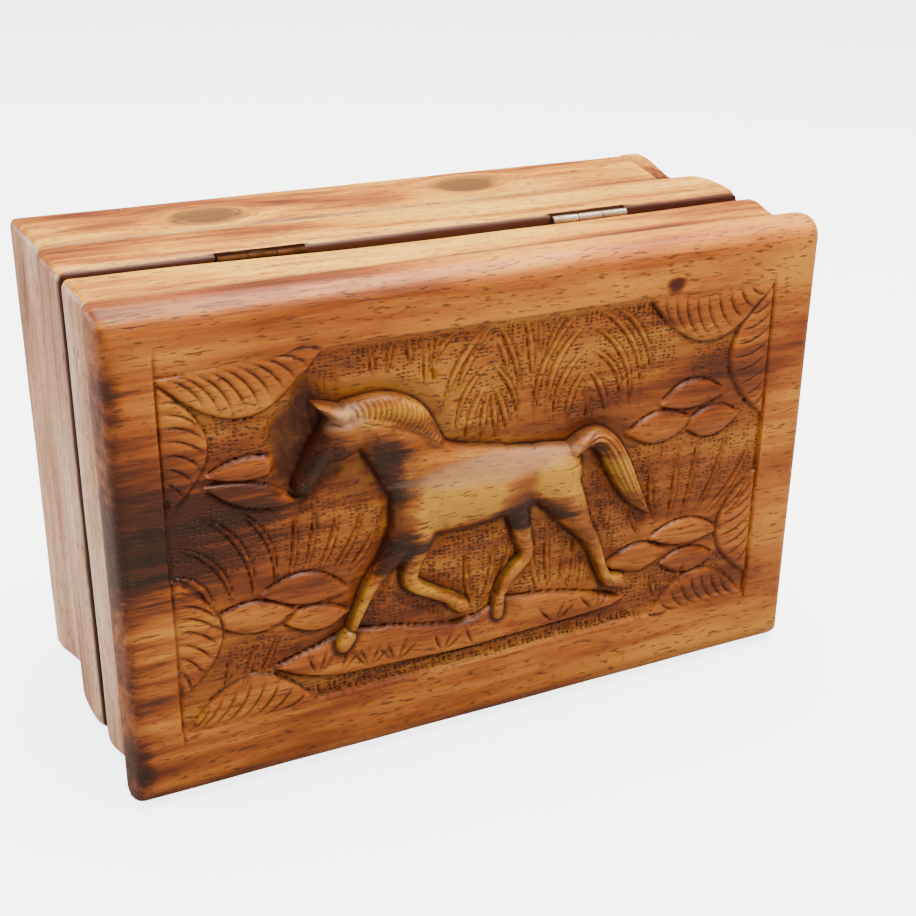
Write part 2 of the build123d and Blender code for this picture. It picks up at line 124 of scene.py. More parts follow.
class Relief:
    """Height, stain and painted shade, and punch marks over a set of points of the board's face."""

    def __init__(self, x, z):
        self.x, self.z = x, z
        self.height = np.zeros_like(x)
        self.groove = np.zeros_like(x)
        self.stain_and_shade = np.zeros_like(x)
        self.punch = np.zeros_like(x)
        self.to_cut = np.full_like(x, 0.55 * FINE)     # distance to the nearest cut
        self.move_x, self.move_z = np.zeros_like(x), np.zeros_like(x)

    def near(self, points, reach):
        low, high = points.min(0) - reach, points.max(0) + reach
        return np.flatnonzero((self.x > low[0]) & (self.x < high[0])
                              & (self.z > low[1]) & (self.z < high[1]))

    def along(self, points, chosen):
        """Distance from the line, place along it and the nearest spot, for the chosen points."""
        px, pz = self.x[chosen], self.z[chosen]
        best, place = np.full(len(chosen), 1e9), np.zeros(len(chosen))
        spot_x, spot_z = px.copy(), pz.copy()
        for i, (a, b) in enumerate(zip(points[:-1], points[1:])):
            d = b - a
            t = np.clip(((px - a[0]) * d[0] + (pz - a[1]) * d[1]) / max(d @ d, 1e-9), 0, 1)
            qx, qz = a[0] + t * d[0], a[1] + t * d[1]
            gap = np.hypot(px - qx, pz - qz)
            closer = gap < best
            best, place = np.where(closer, gap, best), np.where(closer, (i + t) / (len(points) - 1), place)
            spot_x, spot_z = np.where(closer, qx, spot_x), np.where(closer, qz, spot_z)
        return best, place, spot_x, spot_z

    def draw_to(self, chosen, gap, spot_x, spot_z):
        """Notes the move that brings points beside a cut onto its bottom line."""
        closer = gap < self.to_cut[chosen]
        picked = chosen[closer]
        self.to_cut[picked] = gap[closer]
        self.move_x[picked] = spot_x[closer] - self.x[picked]
        self.move_z[picked] = spot_z[closer] - self.z[picked]

    def cut(self, points, width=0.9, depth=0.5, stain_and_shade=0.8, taper=0.25):
        """V cut of a carver's tool along the points, running out at both ends."""
        points = np.asarray(points, float)
        chosen = self.near(points, width)
        gap, place, spot_x, spot_z = self.along(points, chosen)
        ends = np.clip(np.minimum(place, 1 - place) / taper, 0.25, 1.0) if taper else 1.0
        fall = np.clip(1.0 - gap / (0.5 * width * (0.5 + 0.5 * ends)), 0.0, 1.0) * ends
        self.groove[chosen] = np.maximum(self.groove[chosen], depth * fall)
        self.stain_and_shade[chosen] = np.maximum(self.stain_and_shade[chosen], stain_and_shade * fall ** 0.8)
        self.draw_to(chosen, gap, spot_x, spot_z)

    def blade(self, points, half=0.9, depth=0.5, stain_and_shade=0.62, level=-0.62):
        """Smooth blade of grass between two cuts that meet at its tip."""
        points = np.asarray(points, float)
        chosen = self.near(points, half + 1.0)
        gap, place, spot_x, spot_z = self.along(points, chosen)
        width = half * np.sin(np.pi * np.clip(0.12 + 0.86 * place, 0, 1)) ** 0.8
        inside = gap < width
        picked = chosen[inside]
        self.height[picked] = np.maximum(self.height[picked], level)
        clear = np.clip((gap - width) / 0.5, 0, 1)
        self.punch[chosen] *= clear
        from_edge = np.abs(gap - width)
        ends = np.clip(np.minimum(place, 1 - place) / 0.15, 0.3, 1.0)
        fall = np.clip(1 - from_edge / 0.42, 0, 1) * ends
        self.groove[chosen] = np.maximum(self.groove[chosen], depth * fall)
        self.stain_and_shade[chosen] = np.maximum(self.stain_and_shade[chosen], stain_and_shade * fall ** 0.8)
        part = (1 - width / np.maximum(gap, 1e-6))
        px, pz = self.x[chosen], self.z[chosen]
        self.draw_to(chosen, from_edge, px + (spot_x - px) * part, pz + (spot_z - pz) * part)

    def leaf(self, tip_a, tip_b, up, down, level=-0.1, swell=0.5, veins=0, lean=0.12,
             upper=True, lower=True, start=0.97):
        """Leaf between two tips; up and down are how far its sides bow out."""
        tip_a, tip_b = np.array(tip_a, float), np.array(tip_b, float)
        course = tip_b - tip_a
        length = np.hypot(*course)
        ahead = course / length
        left = np.array([-ahead[1], ahead[0]])
        sides = []
        for rise in (up, -down):
            t = np.linspace(0.0, 1.0, 17)
            sides.append(tip_a + course * t[:, None]
                         + left * (rise * np.sin(np.pi * t) ** 0.85)[:, None])
        chosen = self.near(np.vstack(sides), 1.0)
        rx, rz = self.x[chosen] - tip_a[0], self.z[chosen] - tip_a[1]
        s = (rx * ahead[0] + rz * ahead[1]) / length
        t = rx * left[0] + rz * left[1]
        arch = np.sin(np.pi * np.clip(s, 0.0, 1.0)) ** 0.85
        top, low = up * arch, -down * arch
        half = np.maximum((top - low) / 2, 1e-3)
        across = np.abs(t - (top + low) / 2) / half
        within = (s > 0) & (s < 1) & (across < 1)
        body = level - swell + swell * np.sqrt(np.clip(1 - across ** 2, 0, 1)) + 0.15 * arch
        picked = chosen[within]
        self.height[picked] = np.maximum(self.height[picked], body[within])
        self.punch[picked] = 0.0
        for side, wanted in zip(sides, (upper, lower)):
            if wanted:
                self.cut(side, 1.05, 0.68, 0.9, taper=0.08)
        for i in range(veins):
            at = (i + 0.6) / (veins + 0.4)
            to = np.clip(at + lean, 0.0, 1.0)
            one = tip_a + course * at + left * up * np.sin(np.pi * at) ** 0.85 * start
            two = tip_a + course * to - left * down * np.sin(np.pi * to) ** 0.85 * start
            self.cut(bow(one, two, 0.13 * np.hypot(*(two - one))), 0.9, 0.55, 0.85, taper=0.3)


# The horse is built up like wax over a skeleton: (x, z, radius, level of its top).
HORSE = {
    "barrel": [(-15, 60.6, 10.0, 2.1), (-3, 60.0, 9.3, 2.15), (7, 60.2, 8.2, 1.75)],
    "shoulder": [(-14.0, 66.0, 6.0, 2.1), (-17.5, 60.5, 6.8, 2.32), (-20.2, 54.0, 5.0, 2.1)],
    "rump": [(11.5, 61.0, 6.9, 1.95), (16.4, 60.4, 6.9, 2.32)],
    "withers": [(-16, 68.5, 6.0, 1.95), (-10.5, 67.0, 5.0, 1.75), (0, 64.2, 5.6, 1.75)],
    "neck": [(-17, 65, 8.6, 2.2), (-22.5, 72.0, 7.2, 2.2), (-28.5, 79.0, 5.0, 2.1), (-32.5, 81.0, 4.0, 2.0)],
    "crest": [(-14.6, 73.6, 2.2, 1.3), (-19.8, 79.8, 3.6, 1.6), (-26.6, 83.1, 3.5, 1.7),
              (-34.6, 83.7, 2.4, 1.7)],
    "cheek": [(-34.2, 78.4, 4.3, 2.0), (-36.6, 76.6, 3.9, 1.9)],
    "face": [(-36.6, 80.2, 4.0, 1.9), (-40.3, 76.2, 3.4, 1.6), (-43.0, 72.2, 2.8, 1.3),
             (-44.6, 69.4, 2.6, 1.2)],
    "lips": [(-45.1, 69.2, 2.2, 1.1), (-44.2, 67.9, 1.7, 0.9)],
    "ear": [(-36.4, 83.4, 2.0, 2.3), (-39.4, 85.2, 1.3, 2.1), (-42.3, 86.8, 0.35, 1.5)],
    "near_hind": [(15.5, 58.5, 6.6, 2.32), (20.0, 51.0, 4.6, 1.9), (23.4, 45.4, 2.9, 1.3),
                  (26.9, 39.8, 2.0, 0.9), (29.2, 33.6, 1.55, 0.8), (30.8, 30.0, 1.6, 0.8)],
    "near_hind_hoof": [(31.6, 28.9, 1.9, 0.9), (34.4, 28.1, 2.1, 0.9)],
    "far_hind": [(6.4, 53, 3.4, 0.6), (8.1, 45.6, 2.3, 0.2), (9.0, 40.6, 1.9, 0.2), (4.8, 36.2, 1.8, 0.2),
                 (2.5, 32.6, 1.5, 0.3)],
    "far_hind_hoof": [(2.1, 31.2, 1.6, 0.3), (1.6, 27.2, 1.8, 0.4)],
    "near_fore": [(-21.0, 53.0, 4.6, 1.7), (-25.0, 47.6, 3.1, 1.0), (-29.4, 42.4, 2.0, 0.6),
                  (-32.4, 37.0, 1.45, 0.5), (-34.4, 32.6, 1.3, 0.5)],
    "near_fore_hoof": [(-35.5, 30.2, 1.9, 0.8), (-36.9, 28.6, 2.2, 0.8)],
    "raised_fore": [(-18.6, 51.0, 4.4, 1.9), (-20.0, 45.6, 2.7, 1.1), (-20.2, 40.2, 2.0, 0.7),
                    (-14.6, 36.2, 1.6, 0.6), (-10.0, 33.6, 1.6, 0.6)],
    "raised_fore_hoof": [(-9.8, 32.9, 1.8, 0.7), (-7.6, 31.4, 2.0, 0.7)],
    "tail": [(20.0, 65.4, 1.9, 1.8), (23.0, 67.0, 2.1, 1.9), (26.6, 66.9, 2.7, 2.0), (30.2, 63.6, 3.1, 1.9),
             (33.6, 57.5, 3.1, 1.7), (36.8, 51.5, 2.5, 1.3), (39.4, 47.8, 1.5, 0.8), (41.8, 44.8, 0.4, 0.2)],
}
EDGE_ROUND = 0.50            # how quickly the horse's sides rise, 0.5 being a half round


def build_horse(x, z):
    """Level of the horse's surface, and the distance outside its outline."""
    form, reach = np.full_like(x, -9.0), np.full_like(x, 99.0)
    for joints in HORSE.values():
        chain = curve(joints, 5 * (len(joints) - 1) + 1)
        low, high = chain[:, :2].min(0) - 15, chain[:, :2].max(0) + 15
        chosen = np.flatnonzero((x > low[0]) & (x < high[0]) & (z > low[1]) & (z < high[1]))
        px, pz = x[chosen], z[chosen]
        part = np.full(len(chosen), -9.0)
        for a, b in zip(chain[:-1], chain[1:]):
            d = b[:2] - a[:2]
            t = np.clip(((px - a[0]) * d[0] + (pz - a[1]) * d[1]) / (d @ d), 0, 1)
            gap = np.hypot(px - a[0] - t * d[0], pz - a[1] - t * d[1])
            radius = a[2] + (b[2] - a[2]) * t
            top = a[3] + (b[3] - a[3]) * t
            rise = np.clip(1 - (gap / radius) ** 2, 0, 1) ** EDGE_ROUND
            part = np.maximum(part, np.where(gap < radius, DEEP_GROUND + (top - DEEP_GROUND) * rise, -9.0))
            reach[chosen] = np.minimum(reach[chosen], gap - radius)
        before = form[chosen]
        both = np.maximum(before, part)
        blend = np.clip(1.0 - np.abs(before - part) / 1.1, 0, 1) ** 2 * 0.2
        both = np.where((before > -8) & (part > -8), both + blend, both)
        form[chosen] = np.where(both > 2.2, 2.2 + 0.28 * np.tanh((both - 2.2) / 0.28), both)
    return form, reach


# Blades of grass, cut one by one: root x and z, tip x and z, and how far the blade bows out.
GRASS = (
    # single blades hanging from the top line
    (-24.0, 98.0, -25.6, 90.0, -0.3), (-20.8, 98.2, -20.4, 91.4, 0.3), (-17.2, 98.2, -17.0, 87.0, 0.5),
    (-13.2, 98.2, -14.6, 86.2, -0.6), (-9.2, 98.0, -16.4, 88.6, -0.8), (7.2, 98.2, 9.0, 83.4, 0.6),
    (10.6, 98.0, 10.4, 89.0, 0.4), (-29.5, 96.4, -28.8, 90.6, 0.3),
    # left fountain and the smaller one under it
    (-1.6, 98.0, -12.6, 80.6, -1.8), (-1.8, 95.0, -9.2, 83.6, -1.2), (0.4, 98.0, 6.2, 81.8, 1.1),
    (-1.0, 98.0, -5.6, 90.2, -0.6), (0.6, 94.0, 3.0, 86.6, 0.4),
    (-2.2, 88.6, -9.4, 74.8, -1.8), (-0.4, 88.6, 5.8, 74.4, 1.7), (-2.8, 83.6, -6.8, 71.8, -0.9),
    (-1.9, 82.0, -3.0, 71.4, -0.3), (-0.9, 82.0, 0.4, 71.2, 0.3), (0.0, 83.0, 3.2, 71.8, 0.8),
    # right fountain and the ones nested under it
    (20.6, 98.0, 10.0, 72.4, -3.6), (21.4, 94.2, 13.4, 74.8, -2.8), (17.6, 98.0, 12.4, 87.6, -1.1),
    (25.2, 98.0, 37.6, 74.8, 4.2), (25.0, 93.6, 34.6, 72.8, 3.6), (29.6, 98.2, 40.4, 78.2, 3.2),
    (22.0, 88.4, 15.4, 73.0, -2.4), (24.2, 88.6, 32.0, 73.8, 3.0), (22.4, 83.6, 18.4, 71.4, -1.3),
    (24.0, 83.6, 28.4, 71.6, 1.3), (23.2, 80.4, 23.4, 71.8, 0.3),
    # bent over to the left behind the left leaves, and upright beside them
    (-56.6, 45.8, -68.4, 66.8, -3.6), (-61.4, 45.4, -73.4, 60.2, -3.0), (-51.8, 47.2, -61.4, 67.2, -3.4),
    (-66.0, 44.6, -73.8, 53.6, -1.9), (-48.4, 48.8, -47.2, 62.6, -0.7), (-45.0, 49.0, -42.6, 64.0, -0.8),
    (-41.6, 48.6, -37.4, 62.2, -0.9), (-38.4, 47.8, -31.4, 61.4, -1.0), (-35.0, 46.8, -28.6, 55.8, -0.8),
    (-60.6, 24.0, -57.0, 34.4, -0.6), (-56.6, 25.0, -52.0, 35.0, -0.6), (-64.2, 24.0, -63.0, 31.6, -0.4),
    # between the legs
    (-4.4, 30.2, -6.6, 45.6, 0.9), (-1.8, 30.4, 0.2, 47.0, -0.8), (1.2, 31.2, 5.2, 46.4, -0.8),
    (12.6, 30.6, 11.2, 44.4, 0.9), (15.4, 30.4, 14.8, 46.2, 0.6), (18.2, 30.2, 18.6, 44.6, -0.5),
    (20.8, 29.8, 21.8, 42.6, -0.5), (23.4, 28.8, 24.6, 38.6, -0.5),
    # leaning to the right behind the right leaves
    (44.6, 41.8, 42.2, 56.6, 0.8), (48.0, 42.0, 48.8, 61.0, -0.8), (51.6, 42.2, 54.8, 63.2, -1.0),
    (55.4, 41.8, 62.8, 61.4, -1.5), (59.0, 41.6, 70.4, 57.8, -1.9), (63.0, 40.0, 71.6, 49.8, -1.2),
    (39.6, 39.6, 37.2, 48.4, 0.6), (46.0, 21.0, 44.2, 28.2, 0.4), (50.6, 21.6, 52.8, 28.8, -0.4))


def tufts(relief, rng):
    """Grass: long blades that hang in fountains along the top and stand up between the leaves."""
    for root_x, root_z, tip_x, tip_z, rise in GRASS:
        relief.blade(bow((root_x, root_z), (tip_x, tip_z), rise), rng.uniform(0.55, 0.78))


# Punched patches of the ground: centre x and z, reach in x and z.
PUNCHED = ((-8.0, 97.0, 34.0, 8.5), (30.0, 95.0, 22.0, 9.0), (-1.0, 85.0, 8.5, 11.0),
           (23.0, 84.0, 15.0, 13.0), (-62.0, 60.0, 13.0, 9.0), (-40.0, 57.0, 14.0, 9.0),
           (-58.5, 82.0, 8.5, 6.0), (-45.0, 92.0, 9.0, 5.5), (-2.0, 40.0, 24.0, 12.0),
           (20.0, 42.0, 8.0, 12.0), (-28.0, 36.0, 8.0, 8.0), (-55.0, 31.0, 9.0, 5.0),
           (50.0, 55.0, 24.0, 9.0), (31.0, 50.0, 9.0, 14.0), (58.0, 81.0, 8.0, 5.0),
           (68.0, 60.0, 6.0, 12.0), (56.0, 27.0, 10.0, 5.0), (-5.0, 18.5, 52.0, 2.6),
           (44.0, 24.0, 9.0, 5.0), (38.0, 88.0, 10.0, 9.0))


def punched(relief):
    """Where the ground is punched: between the blades, not on the smooth ground above the back."""
    x, z = relief.x, relief.z
    worn = 0.08 * np.sin(x * 0.7 + z * 0.4) + 0.06 * np.sin(x * 0.31 - z * 0.9)
    mask = np.zeros_like(x)
    for cx, cz, rx, rz in PUNCHED:
        mask = np.maximum(mask, smooth(-np.hypot((x - cx) / rx, (z - cz) / rz) + worn, -1.08, -0.82))
    return mask


def carve(relief):
    """The whole picture but the horse: ground, leaves, grass, mound, and the hollow round the horse."""
    x, z = relief.x, relief.z
    rng = np.random.default_rng(11)
    inside = (smooth(x, FIELD_LEFT - 0.3, FIELD_LEFT + 0.5)
              * smooth(-x, -FIELD_RIGHT - 0.3, -FIELD_RIGHT + 0.5)
              * smooth(z, FIELD_LOW - 0.2, FIELD_LOW + 1.4)
              * smooth(-z, -FIELD_HIGH - 0.6, -FIELD_HIGH + 1.6))
    relief.punch = inside * punched(relief)
    relief.height = GROUND * inside
    tufts(relief, rng)
    # fans of veined leaves in the corners
    fan = dict(level=-0.05, swell=0.4)
    relief.leaf((-74.5, 97.0), (-40.0, 98.6), 0.2, 11.6, veins=12, lean=0.22, upper=False, start=0.9, **fan)
    relief.leaf((-74.4, 68.0), (-74.0, 95.0), 0.3, 9.6, veins=9, lean=-0.16, upper=False, **fan)
    relief.leaf((-74.2, 24.5), (-74.4, 53.0), 0.3, 10.4, veins=9, lean=-0.22, upper=False, **fan)
    relief.leaf((-73.0, 16.4), (-43.5, 16.2), 10.2, 0.3, veins=9, lean=-0.22, lower=False, start=0.92, **fan)
    relief.leaf((72.6, 97.8), (39.0, 98.4), 12.2, 0.2, veins=11, lean=0.14, lower=False, start=0.9, **fan)
    relief.leaf((72.6, 96.5), (72.4, 65.5), 0.3, 10.8, veins=9, lean=0.12, upper=False, **fan)
    relief.leaf((72.4, 50.0), (72.2, 22.0), 0.3, 10.4, veins=9, lean=0.18, upper=False, **fan)
    relief.leaf((71.5, 16.2), (44.0, 16.4), 0.3, 10.0, veins=9, lean=0.2, upper=False, start=0.92, **fan)
    # plain almond leaves in threes
    for leaf in (((-66.0, 74.6), (-47.0, 74.8), 3.0, 2.4), ((-66.5, 72.8), (-45.5, 65.4), 2.6, 3.2),
                 ((-55.5, 45.2), (-35.0, 42.0), 5.0, 2.9), ((-66.6, 41.6), (-47.2, 39.8), 3.6, 4.2),
                 ((-51.5, 38.2), (-34.6, 36.4), 2.9, 3.6),
                 ((43.0, 71.8), (61.5, 72.6), 5.0, 2.4), ((34.4, 66.2), (52.6, 67.2), 3.9, 4.2),
                 ((50.2, 65.4), (66.0, 66.4), 3.9, 4.2),
                 ((42.5, 37.4), (63.0, 36.2), 4.2, 3.0), ((30.4, 32.2), (48.0, 33.4), 4.2, 3.6),
                 ((46.0, 30.0), (62.0, 29.2), 3.4, 3.6)):
        relief.leaf(*leaf, level=-0.12, swell=0.6)
    # short hatching along the top line and the fringe under the mound
    for at in np.arange(-32.0, 39.5, 1.05):
        top = FIELD_HIGH + rng.uniform(-0.4, 0.2)
        end = (at + rng.uniform(-0.5, 0.5), top - rng.uniform(2.6, 5.0))
        relief.cut(bow((at, top), end, 0.2, 4), 0.7, 0.3, 0.42)
    for at in np.arange(-42.0, 43.0, 1.25):
        foot = FIELD_LOW + rng.uniform(-0.3, 1.0)
        end = (at - rng.uniform(0.4, 1.8), foot + rng.uniform(2.6, 4.4))
        relief.cut(bow((at, foot), end, 0.3, 4), 0.75, 0.4, 0.5)
    # incised frame lines
    for line, deep in ((((FIELD_LEFT, 103.0), (FIELD_LEFT + 0.6, 13.0)), 0.4),
                       (((FIELD_RIGHT, 99.5), (FIELD_RIGHT - 0.6, 13.0)), 0.45),
                       (((-38.5, FIELD_HIGH + 0.2), (41.0, FIELD_HIGH + 0.1)), 0.3),
                       (((-43.0, FIELD_LOW), (44.0, FIELD_LOW - 0.2)), 0.2)):
        relief.cut(np.array(line), 0.95, deep, 1.5 * deep, taper=0.02)
    # ground mound with its grass nicks
    top = curve([(-53.5, 27.0), (-45, 29.3), (-36, 31.2), (-27, 30.8), (-18, 28.9), (-9, 27.4), (-2, 28.4),
                 (5, 30.4), (14, 29.8), (24, 27.6), (37, 23.2)], 50)
    foot = curve([(-53.5, 27.0), (-47, 23.4), (-38, 21.0), (-24, 20.4), (-8, 20.0), (6, 20.4), (20, 20.8),
                  (31, 21.6), (37, 23.2)], 50)
    high = np.interp(x, top[:, 0], top[:, 1], left=-99, right=-99)
    low = np.interp(x, foot[:, 0], foot[:, 1], left=99, right=99)
    across = np.abs(z - (high + low) / 2) / np.maximum((high - low) / 2, 1e-3)
    mound = (high > low) & (across < 1)
    pad = -0.45 + 0.95 * np.sqrt(np.clip(1 - across ** 2.4, 0, 1))
    clear = smooth(np.maximum(z - high, low - z), -0.2, 0.4)
    for field in (relief.groove, relief.stain_and_shade, relief.punch):
        field *= clear
    relief.height = np.where(mound, np.maximum(relief.height, pad), relief.height)
    relief.cut(top, 1.05, 0.65, 0.85, taper=0.03)
    relief.cut(foot, 1.6, 1.0, 1.0, taper=0.03)
    for nick_x, foot_z in ((-43.5, 23.2), (-38.0, 22.4), (-31.0, 22.0), (-24.5, 21.6), (-13.0, 21.2),
                           (-5.0, 20.8), (16.5, 21.6), (27.5, 22.4)):
        for lean, tall in ((-4.6, 5.2), (-2.2, 5.6), (2.6, 5.6), (5.4, 4.4)):
            if rng.uniform() < 0.72:
                nick = bow((nick_x, foot_z), (nick_x + lean, foot_z + tall), -0.09 * lean, 6)
                relief.cut(nick, 0.95, 0.6, 0.85, taper=0.4)
    # hollow scooped with a gouge round the head and the throat
    hollow = np.hypot((x + 43.0) / 9.6, (z - 78.5) / 14.4) + 0.06 * np.sin(z * 0.6) + 0.05 * np.sin(x * 0.9)
    throat = np.hypot((x + 33.5) / 9.0, (z - 68.0) / 8.0) + 0.05 * np.sin(x * 0.8)
    scoop = np.maximum(smooth(-hollow, -1.12, -0.66), 0.55 * smooth(-throat, -1.15, -0.5))
    fluted = 0.30 * np.abs(np.sin(1.9 * (0.9 * x + 0.25 * z) + 0.8 * np.sin(z * 0.33))) * scoop
    _, reach = build_horse(x, z)
    beside = smooth(-reach, -4.5, 0.3)
    ground = relief.height + (DEEP_GROUND - GROUND) * beside * inside
    ground = ground + (-2.75 - ground) * scoop + fluted
    relief.groove *= 1 - 0.85 * scoop
    relief.stain_and_shade *= 1 - 0.5 * scoop
    relief.punch *= 1 - scoop
    relief.height = ground - relief.groove
    # the wood is darkest in the hollow, partly stain and partly painted shade, and in the corner against the
    # horse's left and lower sides, painted shade; painted shade also darkens the ground where it lies deeper
    relief.stain_and_shade = np.maximum(relief.stain_and_shade, 1.0 * scoop)
    relief.stain_and_shade = np.maximum(relief.stain_and_shade, smooth(-reach, -1.6, -0.1))
    relief.stain_and_shade = np.maximum(relief.stain_and_shade, inside * (0.10 + 0.30 * smooth(-relief.height, 0.3, 1.2)))
    return relief


def groom(relief):
    """Mane, tail strands, eye, mouth and nostril, and the creases of the horse."""
    crest = curve([(-36.5, 85.6), (-30.0, 86.6), (-24.5, 85.8), (-19.5, 83.3), (-16.2, 79.6),
                   (-13.8, 75.4)], 60)
    roots = curve([(-33.5, 82.2), (-29.0, 80.6), (-25.0, 79.2), (-21.0, 77.6), (-17.6, 75.8),
                   (-14.0, 73.0)], 60)
    for i in range(0, 60, 3):
        a, b = roots[i], crest[min(i + 2, 59)]
        relief.cut(bow(a, b, -0.9, 6), 1.1, 0.5, 0.55, taper=0.2)
    relief.cut(roots, 0.9, 0.25, 0.3, taper=0.1)
    strands = (([(21.0, 66.2), (26.5, 69.0), (31.0, 65.6), (34.8, 58.6), (38.6, 50.2), (41.4, 45.4)], 0.45),
               ([(21.0, 65.8), (26.2, 67.8), (30.2, 64.4), (33.8, 57.6), (37.8, 49.8), (40.8, 45.8)], 0.55),
               ([(21.6, 65.0), (26.0, 66.6), (29.4, 63.2), (32.8, 56.8), (36.6, 50.2), (39.6, 46.6)], 0.55),
               ([(23.0, 65.2), (26.4, 65.4), (29.0, 61.6), (32.2, 55.8), (35.8, 50.2), (38.6, 47.2)], 0.5))
    for points, depth in strands:
        relief.cut(curve(points, 30), 0.9, depth, 0.65, taper=0.12)
    # ring eye, nostril, mouth, cheek and the fold behind the jaw
    ring = [(-37.9 + 1.15 * np.cos(a), 76.3 + 0.95 * np.sin(a)) for a in np.linspace(0, 6.283, 15)]
    relief.cut(np.array(ring), 0.6, 0.32, 0.75, taper=0)
    relief.cut(bow((-39.6, 77.0), (-36.4, 78.2), 0.5, 6), 0.6, 0.3, 0.6)
    relief.cut(bow((-46.0, 70.4), (-44.9, 69.4), 0.3, 5), 0.8, 0.4, 0.85)
    relief.cut(bow((-45.8, 68.0), (-42.6, 69.6), 0.25, 6), 0.6, 0.35, 0.8)
    relief.cut(curve([(-40.6, 79.4), (-37.6, 78.8), (-35.0, 78.0), (-33.4, 78.4)], 12), 0.6, 0.25, 0.45)
    relief.cut(curve([(-37.6, 83.0), (-39.2, 84.2), (-41.0, 85.6)], 8), 0.7, 0.35, 0.7)
    relief.cut(curve([(-36.2, 81.4), (-38.4, 82.2), (-39.6, 82.0)], 8), 0.7, 0.3, 0.6)
    relief.cut(curve([(-30.6, 74.6), (-29.4, 76.4), (-29.6, 78.8)], 10), 1.6, 0.4, 0.3)
    relief.cut(curve([(-24.4, 75.0), (-21.4, 68.5), (-21.0, 61.0), (-22.0, 55.0)], 20), 3.6, 0.35, 0.12)
    relief.cut(curve([(10.6, 64.0), (8.6, 59.5), (8.8, 55.5), (10.6, 52.0)], 16), 4.6, 0.6, 0.25)
    relief.cut(curve([(-14.6, 56.0), (-13.0, 53.0), (-14.4, 50.0)], 16), 3.0, 0.35, 0.15)
    for hoof in (((-38.2, 30.6), (-34.6, 31.6)), ((30.4, 30.8), (32.4, 27.4)), ((0.6, 29.6), (3.8, 29.8)),
                 ((-11.2, 31.2), (-8.6, 34.0))):
        relief.cut(bow(*hoof, 0.2, 5), 0.7, 0.3, 0.5)
    relief.height = relief.height - relief.groove


# --- Materials ---------------------------------------------------------------------------
def linear(code):
    """Linear colour of an sRGB hex code."""
    parts = [int(code[i:i + 2], 16) / 255 for i in (1, 3, 5)]
    return tuple(c / 12.92 if c <= 0.04045 else ((c + 0.055) / 1.055) ** 2.4 for c in parts) + (1.0,)


def node(tree, kind, inputs=None, **settings):
    """Adds a node with its settings; inputs are values, or sockets to link from."""
    made = tree.nodes.new("ShaderNode" + kind)
    for name, value in settings.items():
        setattr(made, name, value)
    for name, value in (inputs or {}).items():
        if isinstance(value, bpy.types.NodeSocket):
            tree.links.new(value, made.inputs[name])
        else:
            made.inputs[name].default_value = value
    return made


def new_material(name):
    made = bpy.data.materials.new(name)
    made.use_nodes = True
    tree = made.node_tree
    return made, tree, tree.nodes["Principled BSDF"]


# Indian rosewood, planed, stained in the cuts and brushed with satin varnish. It gives the eye
# long streaks of dark and golden wood, short open pores along them, nearly black cuts where the
# stain stayed, painted shade in the hollows, against the horse and along the seams, and a soft sheen that is
# duller on the dark streaks and in the cuts.
# Grain sizes in millimetres across the grain; along it they are drawn out.
STREAK, STREAK_DRAWN_OUT = 2.6, 15.0    # dark and golden streaks
FIGURE, FIGURE_DRAWN_OUT = 19.0, 4.5    # broad bands of lighter and darker wood
PORE, PORE_DRAWN_OUT = 0.55, 5.5        # open pores, drawn a little coarse so that they show
SWAY = 14.0               # how far slow waves bend the grain
PUNCH = 1.05              # spacing of the punch marks in the carved ground
BLOTCH = 6.0              # patches where the stain was wiped off unevenly
HEARTWOOD = "#2A1208"
PORE_BROWN = "#57301A"
STAIN_AND_SHADE_BROWN = "#431A0A"
TONE_STOPS = (0.26, 0.50, 0.64, 0.76, 0.93)     # heartwood, dark, brown, amber and golden wood


